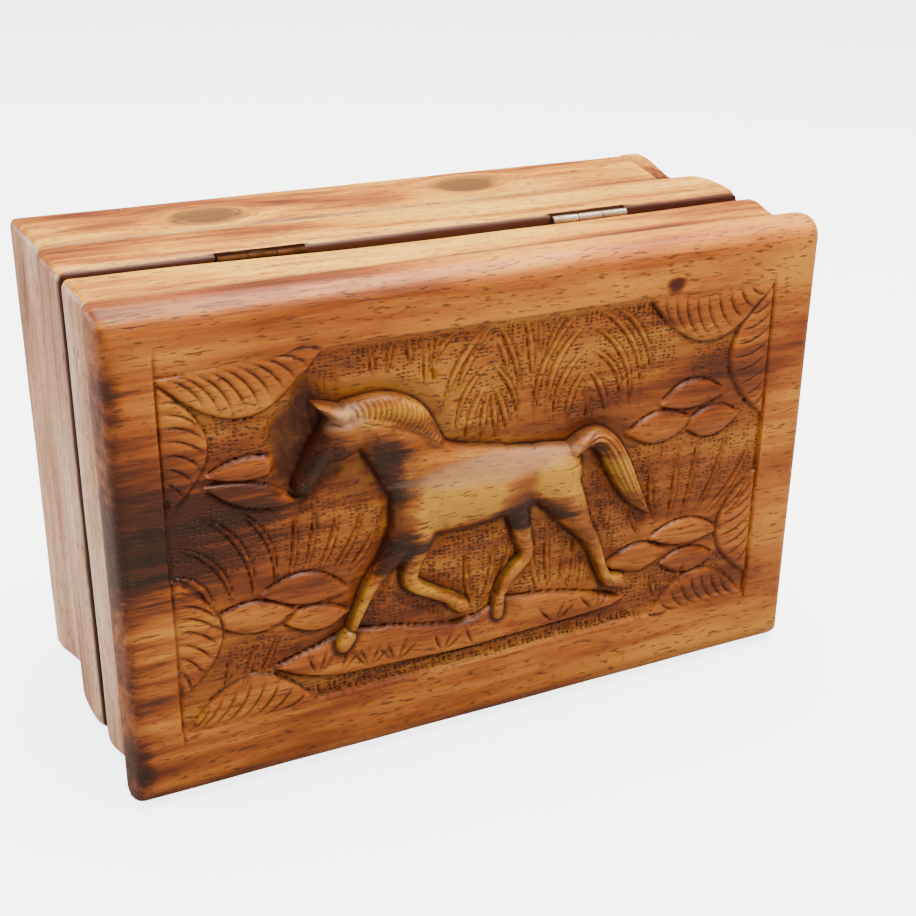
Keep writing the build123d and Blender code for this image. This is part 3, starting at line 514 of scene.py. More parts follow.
def rosewood(name, grain, colours, start=(0.0, 0.0, 0.0), knots=(), rubbed_and_sheen=(), tone_and_light_bands=(), roughness=0.40):
    """Varnished rosewood with its grain along the axis called grain.

    knots and rubbed places, the rubbed places partly wear and partly a painted sheen, are (centre, size, hex
    code, how much), in millimetres;
    bands are (centre, size, change of tone): darker heartwood below 0, lighter above; some bands are painted
    light and shade instead."""
    made, tree, shader = new_material(name)
    place = node(tree, "TexCoord").outputs["Object"]
    turn = {"X": (0, 0, 0), "Y": (0, 0, math.radians(90)), "Z": (0, math.radians(90), 0)}[grain]
    wood = node(tree, "Mapping", {"Vector": place, "Rotation": turn, "Location": start}).outputs["Vector"]

    def from_centre(centre, size):
        """Way from a centre, and how far that is as a share of the size."""
        centre, size = [c * MM for c in centre], [1 / (s * MM) for s in size]
        away = node(tree, "VectorMath", {0: place, 1: centre}, operation="SUBTRACT").outputs[0]
        share = node(tree, "VectorMath", {0: away, 1: size}, operation="MULTIPLY").outputs[0]
        return away, node(tree, "VectorMath", {0: share}, operation="LENGTH").outputs["Value"]

    def along_grain(size, drawn_out, detail, rough=0.5):
        """Unevenness of a size across the bent grain, drawn out along it."""
        long_way = node(tree, "Mapping", {"Vector": bent, "Scale": (1 / drawn_out, 1, 1)}).outputs["Vector"]
        return node(tree, "TexNoise", {"Vector": long_way, "Scale": 1 / (size * MM), "Detail": detail,
                                       "Roughness": rough}).outputs["Fac"]

    def within(centre, size, much, edge):
        """much inside a rounded patch, falling softly to nothing across its ragged edge."""
        far = from_centre(centre, size)[1]
        far = node(tree, "Math", {0: far, 1: ragged}, operation="ADD").outputs[0]
        return node(tree, "MapRange", {"Value": far, "From Min": 0.85 + edge, "From Max": 0.85 - edge,
                                       "To Max": much}, interpolation_type="SMOOTHSTEP").outputs[0]

    def mixed(factor, under, code):
        """The colour under it, turned towards a hex code by the factor."""
        return node(tree, "Mix", {"Factor": factor, "A": under, "B": linear(code)},
                    data_type="RGBA").outputs["Result"]

    # slow waves bend the grain, and it flows round the knots
    sway = node(tree, "Mapping", {"Vector": wood, "Scale": (0.22, 1.0, 1.0)}).outputs["Vector"]
    sway = node(tree, "TexNoise", {"Vector": sway, "Scale": 0.5 / (FIGURE * MM), "Detail": 1.0})
    sway = node(tree, "VectorMath", {0: sway.outputs["Color"], 1: (0.5, 0.5, 0.5)},
                operation="SUBTRACT").outputs[0]
    sway = node(tree, "VectorMath", {0: sway, "Scale": SWAY * MM}, operation="SCALE").outputs[0]
    bent = node(tree, "VectorMath", {0: wood, 1: sway}).outputs[0]
    for centre, size, _, _ in knots:
        away, far = from_centre(centre, size)
        pull = node(tree, "MapRange", {"Value": far, "From Min": 2.2, "From Max": 0.2, "To Max": 1.3},
                    interpolation_type="SMOOTHSTEP").outputs[0]
        push = node(tree, "VectorMath", {0: away, "Scale": pull}, operation="SCALE").outputs[0]
        bent = node(tree, "VectorMath", {0: bent, 1: push}, operation="SUBTRACT").outputs[0]

    # tone of the wood, from its streaks, its figure and its bands, some of which are painted light and shade
    streaks = along_grain(STREAK, STREAK_DRAWN_OUT, 6.0, 0.66)
    figure = along_grain(FIGURE, FIGURE_DRAWN_OUT, 3.0)
    tone = node(tree, "Math", {0: figure, 1: 1.15, 2: -0.20}, operation="MULTIPLY_ADD").outputs[0]
    tone = node(tree, "Math", {0: streaks, 1: 0.72, 2: tone}, operation="MULTIPLY_ADD").outputs[0]
    ragged = node(tree, "Math", {0: streaks, 1: 1.5, 2: -0.75}, operation="MULTIPLY_ADD").outputs[0]
    for centre, size, change in tone_and_light_bands:
        tone = node(tree, "Math", {0: tone, 1: within(centre, size, change, 0.5)}, operation="ADD").outputs[0]
    shades = node(tree, "ValToRGB", {"Fac": tone})
    elements = shades.color_ramp.elements
    while len(elements) < len(TONE_STOPS):
        elements.new(0.5)
    for element, stop, code in zip(elements, TONE_STOPS, (HEARTWOOD,) + colours):
        element.position, element.color = stop, linear(code)
    pores = along_grain(PORE, PORE_DRAWN_OUT, 2.0)
    pores = node(tree, "MapRange", {"Value": pores, "From Min": 0.58, "From Max": 0.67}).outputs[0]
    filled = node(tree, "Math", {0: pores, 1: 0.78}, operation="MULTIPLY").outputs[0]
    colour = mixed(filled, shades.outputs["Color"], PORE_BROWN)
    for centre, size, code, much in tuple(knots) + tuple(rubbed_and_sheen):
        colour = mixed(within(centre, size, much, 0.3), colour, code)

    # dark stain left in the cuts and grooves, blotchy where it was wiped off, with painted shade in the
    # hollows, against the horse and along the seams
    stain_and_shade = node(tree, "Attribute", attribute_name="stain_and_shade").outputs["Fac"]
    blotch = node(tree, "TexNoise", {"Vector": place, "Scale": 1 / (BLOTCH * MM), "Detail": 4.0})
    blotch = node(tree, "MapRange", {"Value": blotch.outputs["Fac"], "From Min": 0.3, "From Max": 0.7,
                                     "To Min": 0.75, "To Max": 1.15}).outputs[0]
    stain_and_shade = node(tree, "Math", {0: stain_and_shade, 1: blotch}, operation="MULTIPLY", use_clamp=True).outputs[0]
    # rows of small punch marks, dark at the bottom, where the ground is matted
    rows = node(tree, "Mapping", {"Vector": place, "Scale": (0.85, 1.0, 1.25)}).outputs["Vector"]
    rows = node(tree, "TexVoronoi", {"Vector": rows, "Scale": 1 / (PUNCH * MM), "Randomness": 0.42})
    matted = node(tree, "Attribute", attribute_name="punch").outputs["Fac"]
    pits = node(tree, "MapRange", {"Value": rows.outputs["Distance"], "From Min": 0.52, "From Max": 0.26},
                interpolation_type="SMOOTHSTEP").outputs[0]
    pits = node(tree, "Math", {0: pits, 1: matted}, operation="MULTIPLY").outputs[0]
    stain_and_shade = node(tree, "Math", {0: pits, 1: 0.46, 2: stain_and_shade}, operation="MULTIPLY_ADD",
                 use_clamp=True).outputs[0]
    tree.links.new(mixed(stain_and_shade, colour, STAIN_AND_SHADE_BROWN), shader.inputs["Base Color"])

    # satin varnish: thin and dull in the cuts, with the pores, streaks and pits just felt in it
    rough = node(tree, "MapRange", {"Value": streaks, "From Min": 0.3, "From Max": 0.7,
                                    "To Min": roughness + 0.06, "To Max": roughness - 0.05}).outputs[0]
    rough = node(tree, "Math", {0: stain_and_shade, 1: 0.22, 2: rough}, operation="MULTIPLY_ADD").outputs[0]
    tree.links.new(rough, shader.inputs["Roughness"])
    felt = node(tree, "Math", {0: pores, 1: -0.8, 2: streaks}, operation="MULTIPLY_ADD").outputs[0]
    felt = node(tree, "Math", {0: pits, 1: -4.0, 2: felt}, operation="MULTIPLY_ADD").outputs[0]
    bump = node(tree, "Bump", {"Height": felt, "Strength": 0.6, "Distance": 0.12 * MM}).outputs["Normal"]
    tree.links.new(bump, shader.inputs["Normal"])
    shader.inputs["IOR"].default_value = 1.5
    shader.inputs["Specular IOR Level"].default_value = 0.30
    shader.inputs["Coat Weight"].default_value = 0.12
    shader.inputs["Coat Roughness"].default_value = 0.22
    return made


FINGER_MARK = 4.0         # size of the dull marks on the metal


def sheet_metal(name, code, roughness, scratch):
    """Rolled, pressed or turned metal: fine scratches one way and dull finger marks."""
    made, tree, shader = new_material(name)
    place = node(tree, "TexCoord").outputs["Object"]
    lines = node(tree, "Mapping", {"Vector": place, "Scale": (0.08, 1, 1)}).outputs["Vector"]
    lines = node(tree, "TexNoise", {"Vector": lines, "Scale": 1 / (scratch * MM), "Detail": 3.0})
    marks = node(tree, "TexNoise", {"Vector": place, "Scale": 1 / (FINGER_MARK * MM), "Detail": 3.0})
    marks = marks.outputs["Fac"]
    colour = node(tree, "Mix", {"Factor": marks, "A": linear(code), "B": linear("#6E5B3E")},
                  data_type="RGBA", blend_type="MULTIPLY").outputs["Result"]
    tree.links.new(colour, shader.inputs["Base Color"])
    rough = node(tree, "MapRange", {"Value": marks, "From Min": 0.3, "From Max": 0.7,
                                    "To Min": roughness - 0.08, "To Max": roughness + 0.12}).outputs[0]
    tree.links.new(rough, shader.inputs["Roughness"])
    bump = node(tree, "Bump", {"Height": lines.outputs["Fac"], "Strength": 0.3, "Distance": 0.02 * MM})
    tree.links.new(bump.outputs["Normal"], shader.inputs["Normal"])
    shader.inputs["Metallic"].default_value = 1.0
    return made


# Wood colours from dark through brown and amber to golden.
BOARD = ("#54220C", "#8E4618", "#B86824", "#DA9236")
WARM = ("#6E3010", "#A65E1C", "#D4902C", "#F0B84A")
# painted sheen: this palette is paler, pinker and greyer, for the left end
PINK_SHEEN = ("#7E4828", "#B47C56", "#CC9C78", "#E0BC9C")
GOLD = ("#46200C", "#804418", "#AE6826", "#D29A34")
OILED = ("#5F3318", "#87501F", "#A46B3A", "#B98450")


def on_face(x, z, size_x, size_z, *rest):
    """A patch of the lid's face that reaches right through the board."""
    return ((x, FACE_Y, z), (size_x, 60.0, size_z)) + rest


# The carved board: a dark burnt band across the left end, a small knot, a lighter top that is partly golden
# wood and partly painted light from above, and a lighter right end that is painted light from the right.
board_wood = rosewood(
    "varnished_rosewood_board", "X", BOARD, (0.31, 0.02, 0.11),
    # the band along the top is partly golden wood and partly painted light from above; the lighter right end
    # is painted light from the right
    tone_and_light_bands=(on_face(0.0, 110.0, 190.0, 14.0, 0.12), on_face(-84.0, 78.0, 15.0, 38.0, -0.09),
           on_face(-88.0, 63.5, 50.0, 11.0, -0.30), on_face(-92.0, 30.0, 14.0, 52.0, -0.14),
           on_face(-85.0, 95.0, 4.0, 6.0, -0.22), on_face(-85.0, 11.0, 4.0, 6.0, -0.24),
           on_face(90.0, 62.0, 26.0, 62.0, 0.12), on_face(45.0, 101.8, 2.6, 2.0, -0.42)))
# The horse: a golden flank, a dark muzzle, painted shade on the chest, the front of the neck, the belly and
# under the tail, and the back and brow rubbed pale, partly worn and partly a painted sheen.
horse_wood = rosewood(
    "varnished_rosewood_horse", "X", GOLD, (0.31, 0.02, 0.14),
    # painted sheen: the pale back and brow are partly worn varnish and partly a painted highlight
    rubbed_and_sheen=(on_face(-1.0, 66.4, 25.0, 3.8, "#D6A888", 0.42), on_face(-36.5, 83.8, 6.0, 3.0, "#CCA284", 0.5)),
    # painted shade: the darker bands on the chest, the front of the neck, the belly, the lower flank and hind
    # quarter and under the tail
    tone_and_light_bands=(on_face(-24.0, 80.0, 13.0, 5.0, 0.12), on_face(-10.0, 59.0, 17.0, 7.0, 0.34),
           on_face(15.5, 60.5, 6.0, 5.5, 0.24), on_face(-25.4, 56.0, 7.0, 15.0, -0.46),
           on_face(-27.0, 69.0, 4.6, 10.0, -0.26), on_face(5.5, 56.6, 6.4, 6.0, -0.34),
           on_face(-8.0, 50.8, 21.0, 4.0, -0.46), on_face(12.0, 52.6, 7.6, 4.4, -0.28),
           on_face(-43.0, 72.0, 7.6, 10.0, -0.26), on_face(24.6, 63.0, 3.6, 5.0, -0.4),
           on_face(2.0, 36.0, 60.0, 11.0, 0.08)))
# The mouldings: golden along the box, paler and pinker across its left end from a painted sheen. The base has
# two knots.
side_x_wood = rosewood("varnished_rosewood_long_rails", "X", WARM, (0.05, 0.21, 0.4))
side_z_wood = rosewood("varnished_rosewood_end_rails", "Z", PINK_SHEEN, (0.9, 0.13, 0.07))
right_z_wood = rosewood("varnished_rosewood_right_rails", "Z", WARM, (0.4, 0.33, 0.27))
base_x_wood = rosewood("varnished_rosewood_base", "X", WARM, (0.63, 0.07, 0.31),
                       knots=(((-42.6, FACE_Y + 67.0, HIGH), (9.4, 4.6, 9.0), "#5E4020", 0.9),
                              ((26.4, FACE_Y + 69.0, HIGH), (9.6, 5.4, 9.0), "#5E4020", 0.9)))
# Bare rosewood with a wipe of oil: duller and browner than the varnished outside.
inner_wood = rosewood("oiled_rosewood_inside", "X", OILED, (0.2, 0.5, 0.7), roughness=0.6)
# Rolled steel leaf, nickel plated: the one bright spot in the dark seam.
nickel = sheet_metal("nickelled_steel_leaf", "#EDE4D4", 0.32, 0.15)
# The same leaf as a brown, dull copy: painted shade, so that it is hardly seen in the seam.
shaded_steel_leaf = sheet_metal("steel_leaf_painted_shade", "#4A2E1A", 0.55, 0.15)
# Pressed sheet brass, yellow and a little worn; and plain turned steel, greyer and finer.
brass = sheet_metal("pressed_brass", "#D9B263", 0.34, 0.12)
steel = sheet_metal("turned_steel", "#B9B6AE", 0.30, 0.1)


# --- Mouldings ---------------------------------------------------------------------------
def softened(points, steps=4):
    """Closed outline from (depth, inset, radius) corners, each corner rounded off."""
    outline = []
    for i, (depth, inset, radius) in enumerate(points):
        here = np.array((depth, inset))
        if radius <= 0:
            outline.append(here)
            continue
        ends = []
        for other in (points[i - 1], points[(i + 1) % len(points)]):
            way = np.array(other[:2]) - here
            ends.append(here + way / np.hypot(*way) * min(radius, np.hypot(*way) * 0.45))
        for t in np.linspace(0, 1, steps + 1):
            outline.append((1 - t) ** 2 * ends[0] + 2 * t * (1 - t) * here + t * t * ends[1])
    return outline


def profile(points, count):
    """Smooth outer profile, as corners that stay as they are."""
    return [(depth, inset, 0.0) for depth, inset in curve(points, count)]


# Outer profiles and whole sections: (depth, inset from the outline), the corners with a radius.
LID_OUTER = profile([(BOARD_BACK + 0.9, 1.3), (19.6, 0.85), (24.5, 0.1), (28.6, 0.25),
                     (LID_RIM - 0.8, 0.9)], 16)
BODY_OUTER = profile([(BODY_RIM + 0.8, 0.35), (36.0, -0.35), (41.0, -0.68), (46.5, -0.72), (51.0, -0.3),
                      (55.0, 0.8), (BASE_TOP - 1.0, 1.6)], 24)
BASE_OUTER = profile([(BASE_TOP + 1.0, 1.6), (63.5, 1.15), (69.0, 0.3), (73.5, -0.4),
                      (FOOT - 1.3, -0.66)], 18)
LID_SECTION = softened([(BOARD_BACK, 2.4, 0.0), (BOARD_BACK, 1.35, 0.5)] + LID_OUTER
                       + [(LID_RIM, 1.25, 0.7), (LID_RIM, WALL, 0.6), (BOARD_BACK, WALL, 0.0)])
BODY_SECTION = softened([(BODY_RIM, WALL, 0.6), (BODY_RIM, 0.75, 0.8)] + BODY_OUTER
                        + [(BASE_TOP, 2.2, 0.6), (BASE_TOP, BASE_THICK + SLIDE_GAP, 0.0),
                           (WALL_END, BASE_THICK + SLIDE_GAP, 0.3), (WALL_END, WALL, 0.3)])
BASE_SECTION = softened([(BASE_TOP + SLIDE_GAP, BASE_THICK, 0.2), (BASE_TOP + SLIDE_GAP, 2.2, 0.7)]
                        + BASE_OUTER + [(FOOT, -0.5, 1.2), (FOOT, BASE_THICK, 0.4)])
CORNER = 2.2              # radius of the sanded corners
END_STATIONS = (0.0, 0.12, 0.4, 0.8, 1.3, 1.9, 2.8, 4.5, 7.0)     # from each end, for the rounding
STATIONS = np.concatenate([-1 + np.array(END_STATIONS) / 80, np.linspace(-0.87, 0.87, 47),
                           1 - np.array(END_STATIONS)[::-1] / 80])


# Stain and painted shade along the seams of the mouldings: depth, how far it spreads and how strong it is.
SEAM_STAIN_AND_SHADE = ((BASE_TOP, 1.8, 0.75), (BOARD_BACK, 1.5, 0.6), (LID_RIM, 1.3, 1.3), (BODY_RIM, 1.5, 1.4))


def wobble(place, seed, size):
    """Slow unevenness of hand-planed wood, about size millimetres."""
    return size * (0.5 * np.sin(place / 23.0 + seed) + 0.3 * np.sin(place / 9.7 + 2.3 * seed)
                   + 0.2 * np.sin(place / 4.1 + 5.1 * seed))


def only(thing):
    """Selects one object and makes it active."""
    bpy.ops.object.select_all(action="DESELECT")
    thing.select_set(True)
    bpy.context.view_layer.objects.active = thing


def read_points(thing):
    points = np.empty(len(thing.data.vertices) * 3)
    thing.data.vertices.foreach_get("co", points)
    return points.reshape(-1, 3)


def write_points(thing, points):
    thing.data.vertices.foreach_set("co", np.ascontiguousarray(points, float).ravel())
    thing.data.update()


def write_layer(thing, name, values):
    """Stores a number at each point, for the wood's material."""
    layer = thing.data.attributes.new(name, "FLOAT", "POINT")
    layer.data.foreach_set("value", np.maximum(values, 0).astype(np.float32))


def finish_mesh(thing, angle=40.0, recalculate=True):
    """Outward normals and smooth shading up to an angle."""
    only(thing)
    bpy.ops.object.mode_set(mode="EDIT")
    bpy.ops.mesh.select_all(action="SELECT")
    if recalculate:
        bpy.ops.mesh.normals_make_consistent(inside=False)
    bpy.ops.object.mode_set(mode="OBJECT")
    bpy.ops.object.shade_smooth_by_angle(angle=math.radians(angle))


def moulding(name, side, section, outer, seed, ends=("mitre", "mitre"), shape=None):
    """One moulded strip of the box: its section drawn out along a side.

    An end is mitred, or run through to the outline of the next side's profile, or else
    cut square at a distance from the side's middle.
    shape(along, depth, inset) may move the surface, giving a new depth and inset."""
    bpy.context.tool_settings.mesh_select_mode = (False, True, False)
    bpy.ops.object.select_all(action="DESELECT")
    bpy.ops.mesh.primitive_circle_add(vertices=len(section), radius=1.0, fill_type="NGON")
    strip = bpy.context.object
    strip.name = name
    write_points(strip, [(depth, inset, 0.0) for depth, inset in section])
    bpy.ops.object.mode_set(mode="EDIT")
    bpy.ops.mesh.select_all(action="SELECT")
    bpy.ops.mesh.extrude_region_move(TRANSFORM_OT_translate={"value": (0, 0, 1000)})
    bpy.ops.object.mode_set(mode="OBJECT")
    rise = [abs(strip.data.vertices[e.vertices[0]].co.z - strip.data.vertices[e.vertices[1]].co.z) > 1
            for e in strip.data.edges]
    bpy.ops.object.mode_set(mode="EDIT")
    bpy.ops.mesh.select_all(action="DESELECT")
    bpy.ops.object.mode_set(mode="OBJECT")
    strip.data.edges.foreach_set("select", rise)
    bpy.ops.object.mode_set(mode="EDIT")
    bpy.ops.mesh.subdivide(number_cuts=len(STATIONS) - 2)
    bpy.ops.object.mode_set(mode="OBJECT")
    points = read_points(strip)
    depth, inset = points[:, 0].copy(), points[:, 1].copy()
    place = STATIONS[np.rint(points[:, 2] / 1000 * (len(STATIONS) - 1)).astype(int)]
    surface = np.interp(depth, [d for d, _, _ in outer], [q for _, q, _ in outer])
    half = HALF if side in ("rear", "front") else (HIGH - LOW) / 2
    reach = [half - inset if end == "mitre" else half - surface if end == "through"
             else np.full_like(inset, abs(end)) for end in ends]
    along = (reach[1] - reach[0]) / 2 + (reach[1] + reach[0]) / 2 * place
    outside = smooth(-inset, -3.0, -1.5)
    drawn_depth = depth
    if shape:
        depth, inset = shape(along, depth, inset)
    uneven = outside * (wobble(along, seed, 0.10) + 0.06)
    inset, surface = inset + uneven, surface + wobble(along, seed, 0.10) + 0.06
    # sanded corners, rounded in the plane of the section
    for sign, end in ((-1, ends[0]), (1, ends[1])):
        if end not in ("mitre", "through"):
            continue
        from_end = half - sign * along - surface
        below = np.maximum(inset - surface, 0.0)
        dx, dz = CORNER - from_end, CORNER - below
        if end == "through":
            out = (dx > 0) & (dz > 0)
            arc = np.minimum(dz, np.sqrt(np.maximum(CORNER ** 2 - dx ** 2, 0)))
            inset = np.where(out, surface + CORNER - arc, inset)
            continue
        gap = np.hypot(dx, dz)
        out = (dx > 0) & (dz > 0) & (gap > CORNER)
        pull = np.where(out, CORNER / np.maximum(gap, 1e-6), 1.0)
        along = np.where(out, sign * (half - surface - CORNER + dx * pull), along)
        inset = np.where(out, surface + CORNER - dz * pull, inset)
    y = FACE_Y + depth
    spots = {"rear": (along, y, HIGH - inset), "front": (along, y, LOW + inset),
             "left": (inset - HALF, y, MIDDLE + along), "right": (HALF - inset, y, MIDDLE + along)}[side]
    write_points(strip, np.column_stack(spots) * MM)
    # stain and painted shade in the grooves between the mouldings and along the seam; faces more than 3 mm in
    # from the outline get an even 0.45
    groove = np.zeros_like(depth)
    for at, wide, much in SEAM_STAIN_AND_SHADE:
        groove = np.maximum(groove, much * smooth(-np.abs(drawn_depth - at), -wide, -0.1))
    groove = np.where(inset > 3.0, 0.45, groove)
    write_layer(strip, "stain_and_shade", groove + 0.12 * np.sin(along / 7.0 + seed) * groove)
    finish_mesh(strip, 50.0)
    return strip


def combine(piece, tool, operation):
    """Cuts a tool's shape out of a piece, or joins it on, and takes the tool away."""
    only(piece)
    change = piece.modifiers.new("change", "BOOLEAN")
    change.operation = operation
    change.object = tool
    bpy.ops.object.modifier_apply(modifier="change")
    bpy.data.objects.remove(tool, do_unlink=True)


def cut_away(piece, low, high):
    """Takes a block out of a piece."""
    low, high = np.array(low, float) * MM, np.array(high, float) * MM
    bpy.ops.object.select_all(action="DESELECT")
    bpy.ops.mesh.primitive_cube_add(size=1.0, location=(low + high) / 2)
    cutter = bpy.context.object
    cutter.dimensions = high - low
    bpy.ops.object.transform_apply(location=True, rotation=True, scale=True)
    combine(piece, cutter, "DIFFERENCE")


def fit(piece, body, material, slot, *nodes):
    """Gives a finished piece its material and its body, and hides the CAD nodes it stands for."""
    piece.data.materials.clear()
    piece.data.materials.append(material)
    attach(piece, body)
    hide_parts(*nodes)


# --- Lid frame, body and base ------------------------------------------------------------
def bowed_lid_rim(along, depth, inset):
    """The lid's hinge-side rail has sunk away from the body towards the middle of the seam."""
    open_up = np.clip(0.5 + 0.5 * np.cos((along - 12.0) / 80.0 * 1.6), 0, 1) * smooth(along, -80.0, -20.0)
    near_rim = smooth(depth, LID_RIM - 5.5, LID_RIM - 0.2)
    close_up = 0.4 * smooth(-along, 30.0, 84.0)
    outer = smooth(-inset, -4.0, -2.0)
    inset = inset + outer * (0.6 * open_up * smooth(depth, 19.0, 27.0) + near_rim * (open_up + close_up))
    return depth + near_rim * (close_up - 0.9 * open_up), inset


def gaping_left_rim(along, depth, inset):
    """At the left end the seam closes towards the hinges and gapes towards the front side."""
    near_rim = smooth(depth, LID_RIM - 6.0, LID_RIM - 0.2)
    return depth + near_rim * (0.4 * smooth(along, 10.0, 54.0) - 0.8 * smooth(-along, -25.0, 45.0)), inset


sides = ("rear", "front", "left", "right")
seeds = dict(zip(sides, (1.0, 2.7, 4.1, 5.9)))
rails, walls, bases = {}, {}, {}
inner_right = HALF - BASE_THICK - SLIDE_GAP
half_end = (HIGH - LOW) / 2
BUTT = {"rear": ("mitre", inner_right), "front": ("mitre", "through"),
        "left": ("mitre", "mitre"), "right": (-(half_end - BASE_THICK - 2 * SLIDE_GAP), "through")}
SEAM = {"rear": bowed_lid_rim, "left": gaping_left_rim}
for side in sides:
    rails[side] = moulding("lid_frame_" + side, side, LID_SECTION, LID_OUTER, seeds[side] + 0.4,
                           shape=SEAM.get(side))
    walls[side] = moulding("body_wall_" + side, side, BODY_SECTION, BODY_OUTER, seeds[side] + 1.1)
    bases[side] = moulding("base_strip_" + side, side, BASE_SECTION, BASE_OUTER, seeds[side] + 2.3,
                           BUTT[side])

# --- Carved lid board --------------------------------------------------------------------
# (depth, inset at the long sides, inset at the ends): the ends are less rounded over
BULLNOSE = [(0.0, 4.2, 2.2), (0.28, 3.1, 1.3), (0.8, 1.9, 0.65), (1.6, 0.9, 0.2), (2.8, 0.1, -0.1),
            (4.2, -0.4, -0.4), (5.8, -0.68, -0.6), (8.0, -0.62, -0.55), (10.0, -0.15, -0.1),
            (12.0, 0.6, 0.6), (14.0, 1.18, 1.18), (BOARD_BACK, 1.4, 1.4)]
BOARD_CORNER = 1.7        # radius of the board's corners, seen from the front


def spread(low, field_low, field_high, high):
    """Places across the face: fine over the carving, coarser on the plain border."""
    count = int(round((field_high - field_low) / FINE))
    inner = np.linspace(field_low, field_high, count + 1)
    left = low + (field_low - low) * np.linspace(0, 1, 8)[:-1] ** 1.3
    right = high - (high - field_high) * np.linspace(0, 1, 8)[:-1][::-1] ** 1.3
    return np.concatenate([left, inner, right])


def add_grid(name, xs, zs):
    """Grid with its points at the given places; gives the object and each point's x and z."""
    bpy.ops.object.select_all(action="DESELECT")
    bpy.ops.mesh.primitive_grid_add(x_subdivisions=len(xs) - 1, y_subdivisions=len(zs) - 1, size=1.0)
    made = bpy.context.object
    made.name = name
    grid = read_points(made)
    column = np.rint((grid[:, 0] + 0.5) * (len(xs) - 1)).astype(int)
    line = np.rint((grid[:, 1] + 0.5) * (len(zs) - 1)).astype(int)
    return made, xs[column], zs[line]


def carved_board():
    """Bullnosed board: a fine grid carved on the front, its border drawn back over the edge."""
    _, face_z, face_x = BULLNOSE[0]
    xs = spread(-HALF + face_x, FIELD_LEFT - 1.5, FIELD_RIGHT + 1.5, HALF - face_x)
    zs = spread(face_z, FIELD_LOW - 1.5, FIELD_HIGH + 1.5, HIGH - LOW - face_z)
    board, x, z = add_grid("carved_board", xs, zs)
    first = carve(Relief(x, z))
    x, z = x + 0.9 * first.move_x, z + 0.9 * first.move_z
    relief = carve(Relief(x, z))
    uneven = 0.08 * np.sin(x / 17.0 + 1.3) * np.sin(z / 13.0) + 0.05 * np.sin(x / 6.1 + z / 8.3)
    y = FACE_Y - relief.height - uneven + 0.08
    write_points(board, np.column_stack([x, y, z + LOW]) * MM)
    bpy.ops.object.mode_set(mode="EDIT")
    bpy.context.tool_settings.mesh_select_mode = (False, True, False)
    bpy.ops.mesh.select_all(action="DESELECT")
    bpy.ops.mesh.select_non_manifold()
    width, height = 2 * HALF, HIGH - LOW
    for (depth, in_z, in_x), (next_depth, next_z, next_x) in zip(BULLNOSE[:-1], BULLNOSE[1:]):
        bpy.ops.mesh.extrude_edges_move(TRANSFORM_OT_translate={"value": (0, (next_depth - depth) * MM, 0)})
        scale = ((width - 2 * next_x) / (width - 2 * in_x), 1.0, (height - 2 * next_z) / (height - 2 * in_z))
        bpy.ops.transform.resize(value=scale, center_override=(0, 0, MIDDLE * MM))
    bpy.ops.mesh.edge_face_add()
    bpy.ops.object.mode_set(mode="OBJECT")
    points = read_points(board) / MM
    px, py, pz = points.T
    deep = py - FACE_Y
    depths = [d for d, _, _ in BULLNOSE]
    level_z = np.minimum(np.interp(deep, depths, [q for _, q, _ in BULLNOSE]), 1.5)
    level_x = np.minimum(np.interp(deep, depths, [q for _, _, q in BULLNOSE]), 1.5)
    # rounded corners, seen from the front
    for sx, sz in ((-1, -1), (-1, 1), (1, -1), (1, 1)):
        dx = BOARD_CORNER - (HALF - sx * px - level_x)
        dz = BOARD_CORNER - ((HIGH - LOW) / 2 - sz * (pz - MIDDLE) - level_z)
        gap = np.maximum(np.hypot(dx, dz), 1e-6)
        pull = np.where((dx > 0) & (dz > 0), np.maximum(dx, dz) / gap, 1.0)
        px = np.where(pull < 1, sx * (HALF - level_x - BOARD_CORNER + dx * pull), px)
        pz = np.where(pull < 1, MIDDLE + sz * ((HIGH - LOW) / 2 - level_z - BOARD_CORNER + dz * pull), pz)
    write_points(board, np.column_stack([px, py, pz]) * MM)
    from_side = np.minimum(np.minimum(HALF - np.abs(px), pz - LOW), HIGH - pz)
    stain_and_shade, punch = np.zeros(len(px)), np.zeros(len(px))
    stain_and_shade[:len(x)], punch[:len(x)] = relief.stain_and_shade, relief.punch
    # darker along the edges at the left end and along the lower edge; stain and painted shade where the
    # board's back meets the frame
    stain_and_shade = np.maximum(stain_and_shade, 0.40 * smooth(-from_side, -5.0, 0.5) * smooth(-px, 60.0, 84.0))
    stain_and_shade = np.maximum(stain_and_shade, 0.25 * smooth(-(pz - LOW), -5.0, 0.5) * (deep < 5))
    stain_and_shade = np.maximum(stain_and_shade, 0.7 * smooth(deep, BOARD_BACK - 2.2, BOARD_BACK - 0.2))
    write_layer(board, "stain_and_shade", stain_and_shade)
    write_layer(board, "punch", punch)
    finish_mesh(board, 60.0)
    return board


HORSE_GRID = 0.24         # spacing of the horse's points
HORSE_X, HORSE_Z = (-48.5, 43.2), (24.8, 88.2)     # block that the horse is cut from
HORSE_ROOT = 3.3          # depth to which the horse is let into the board


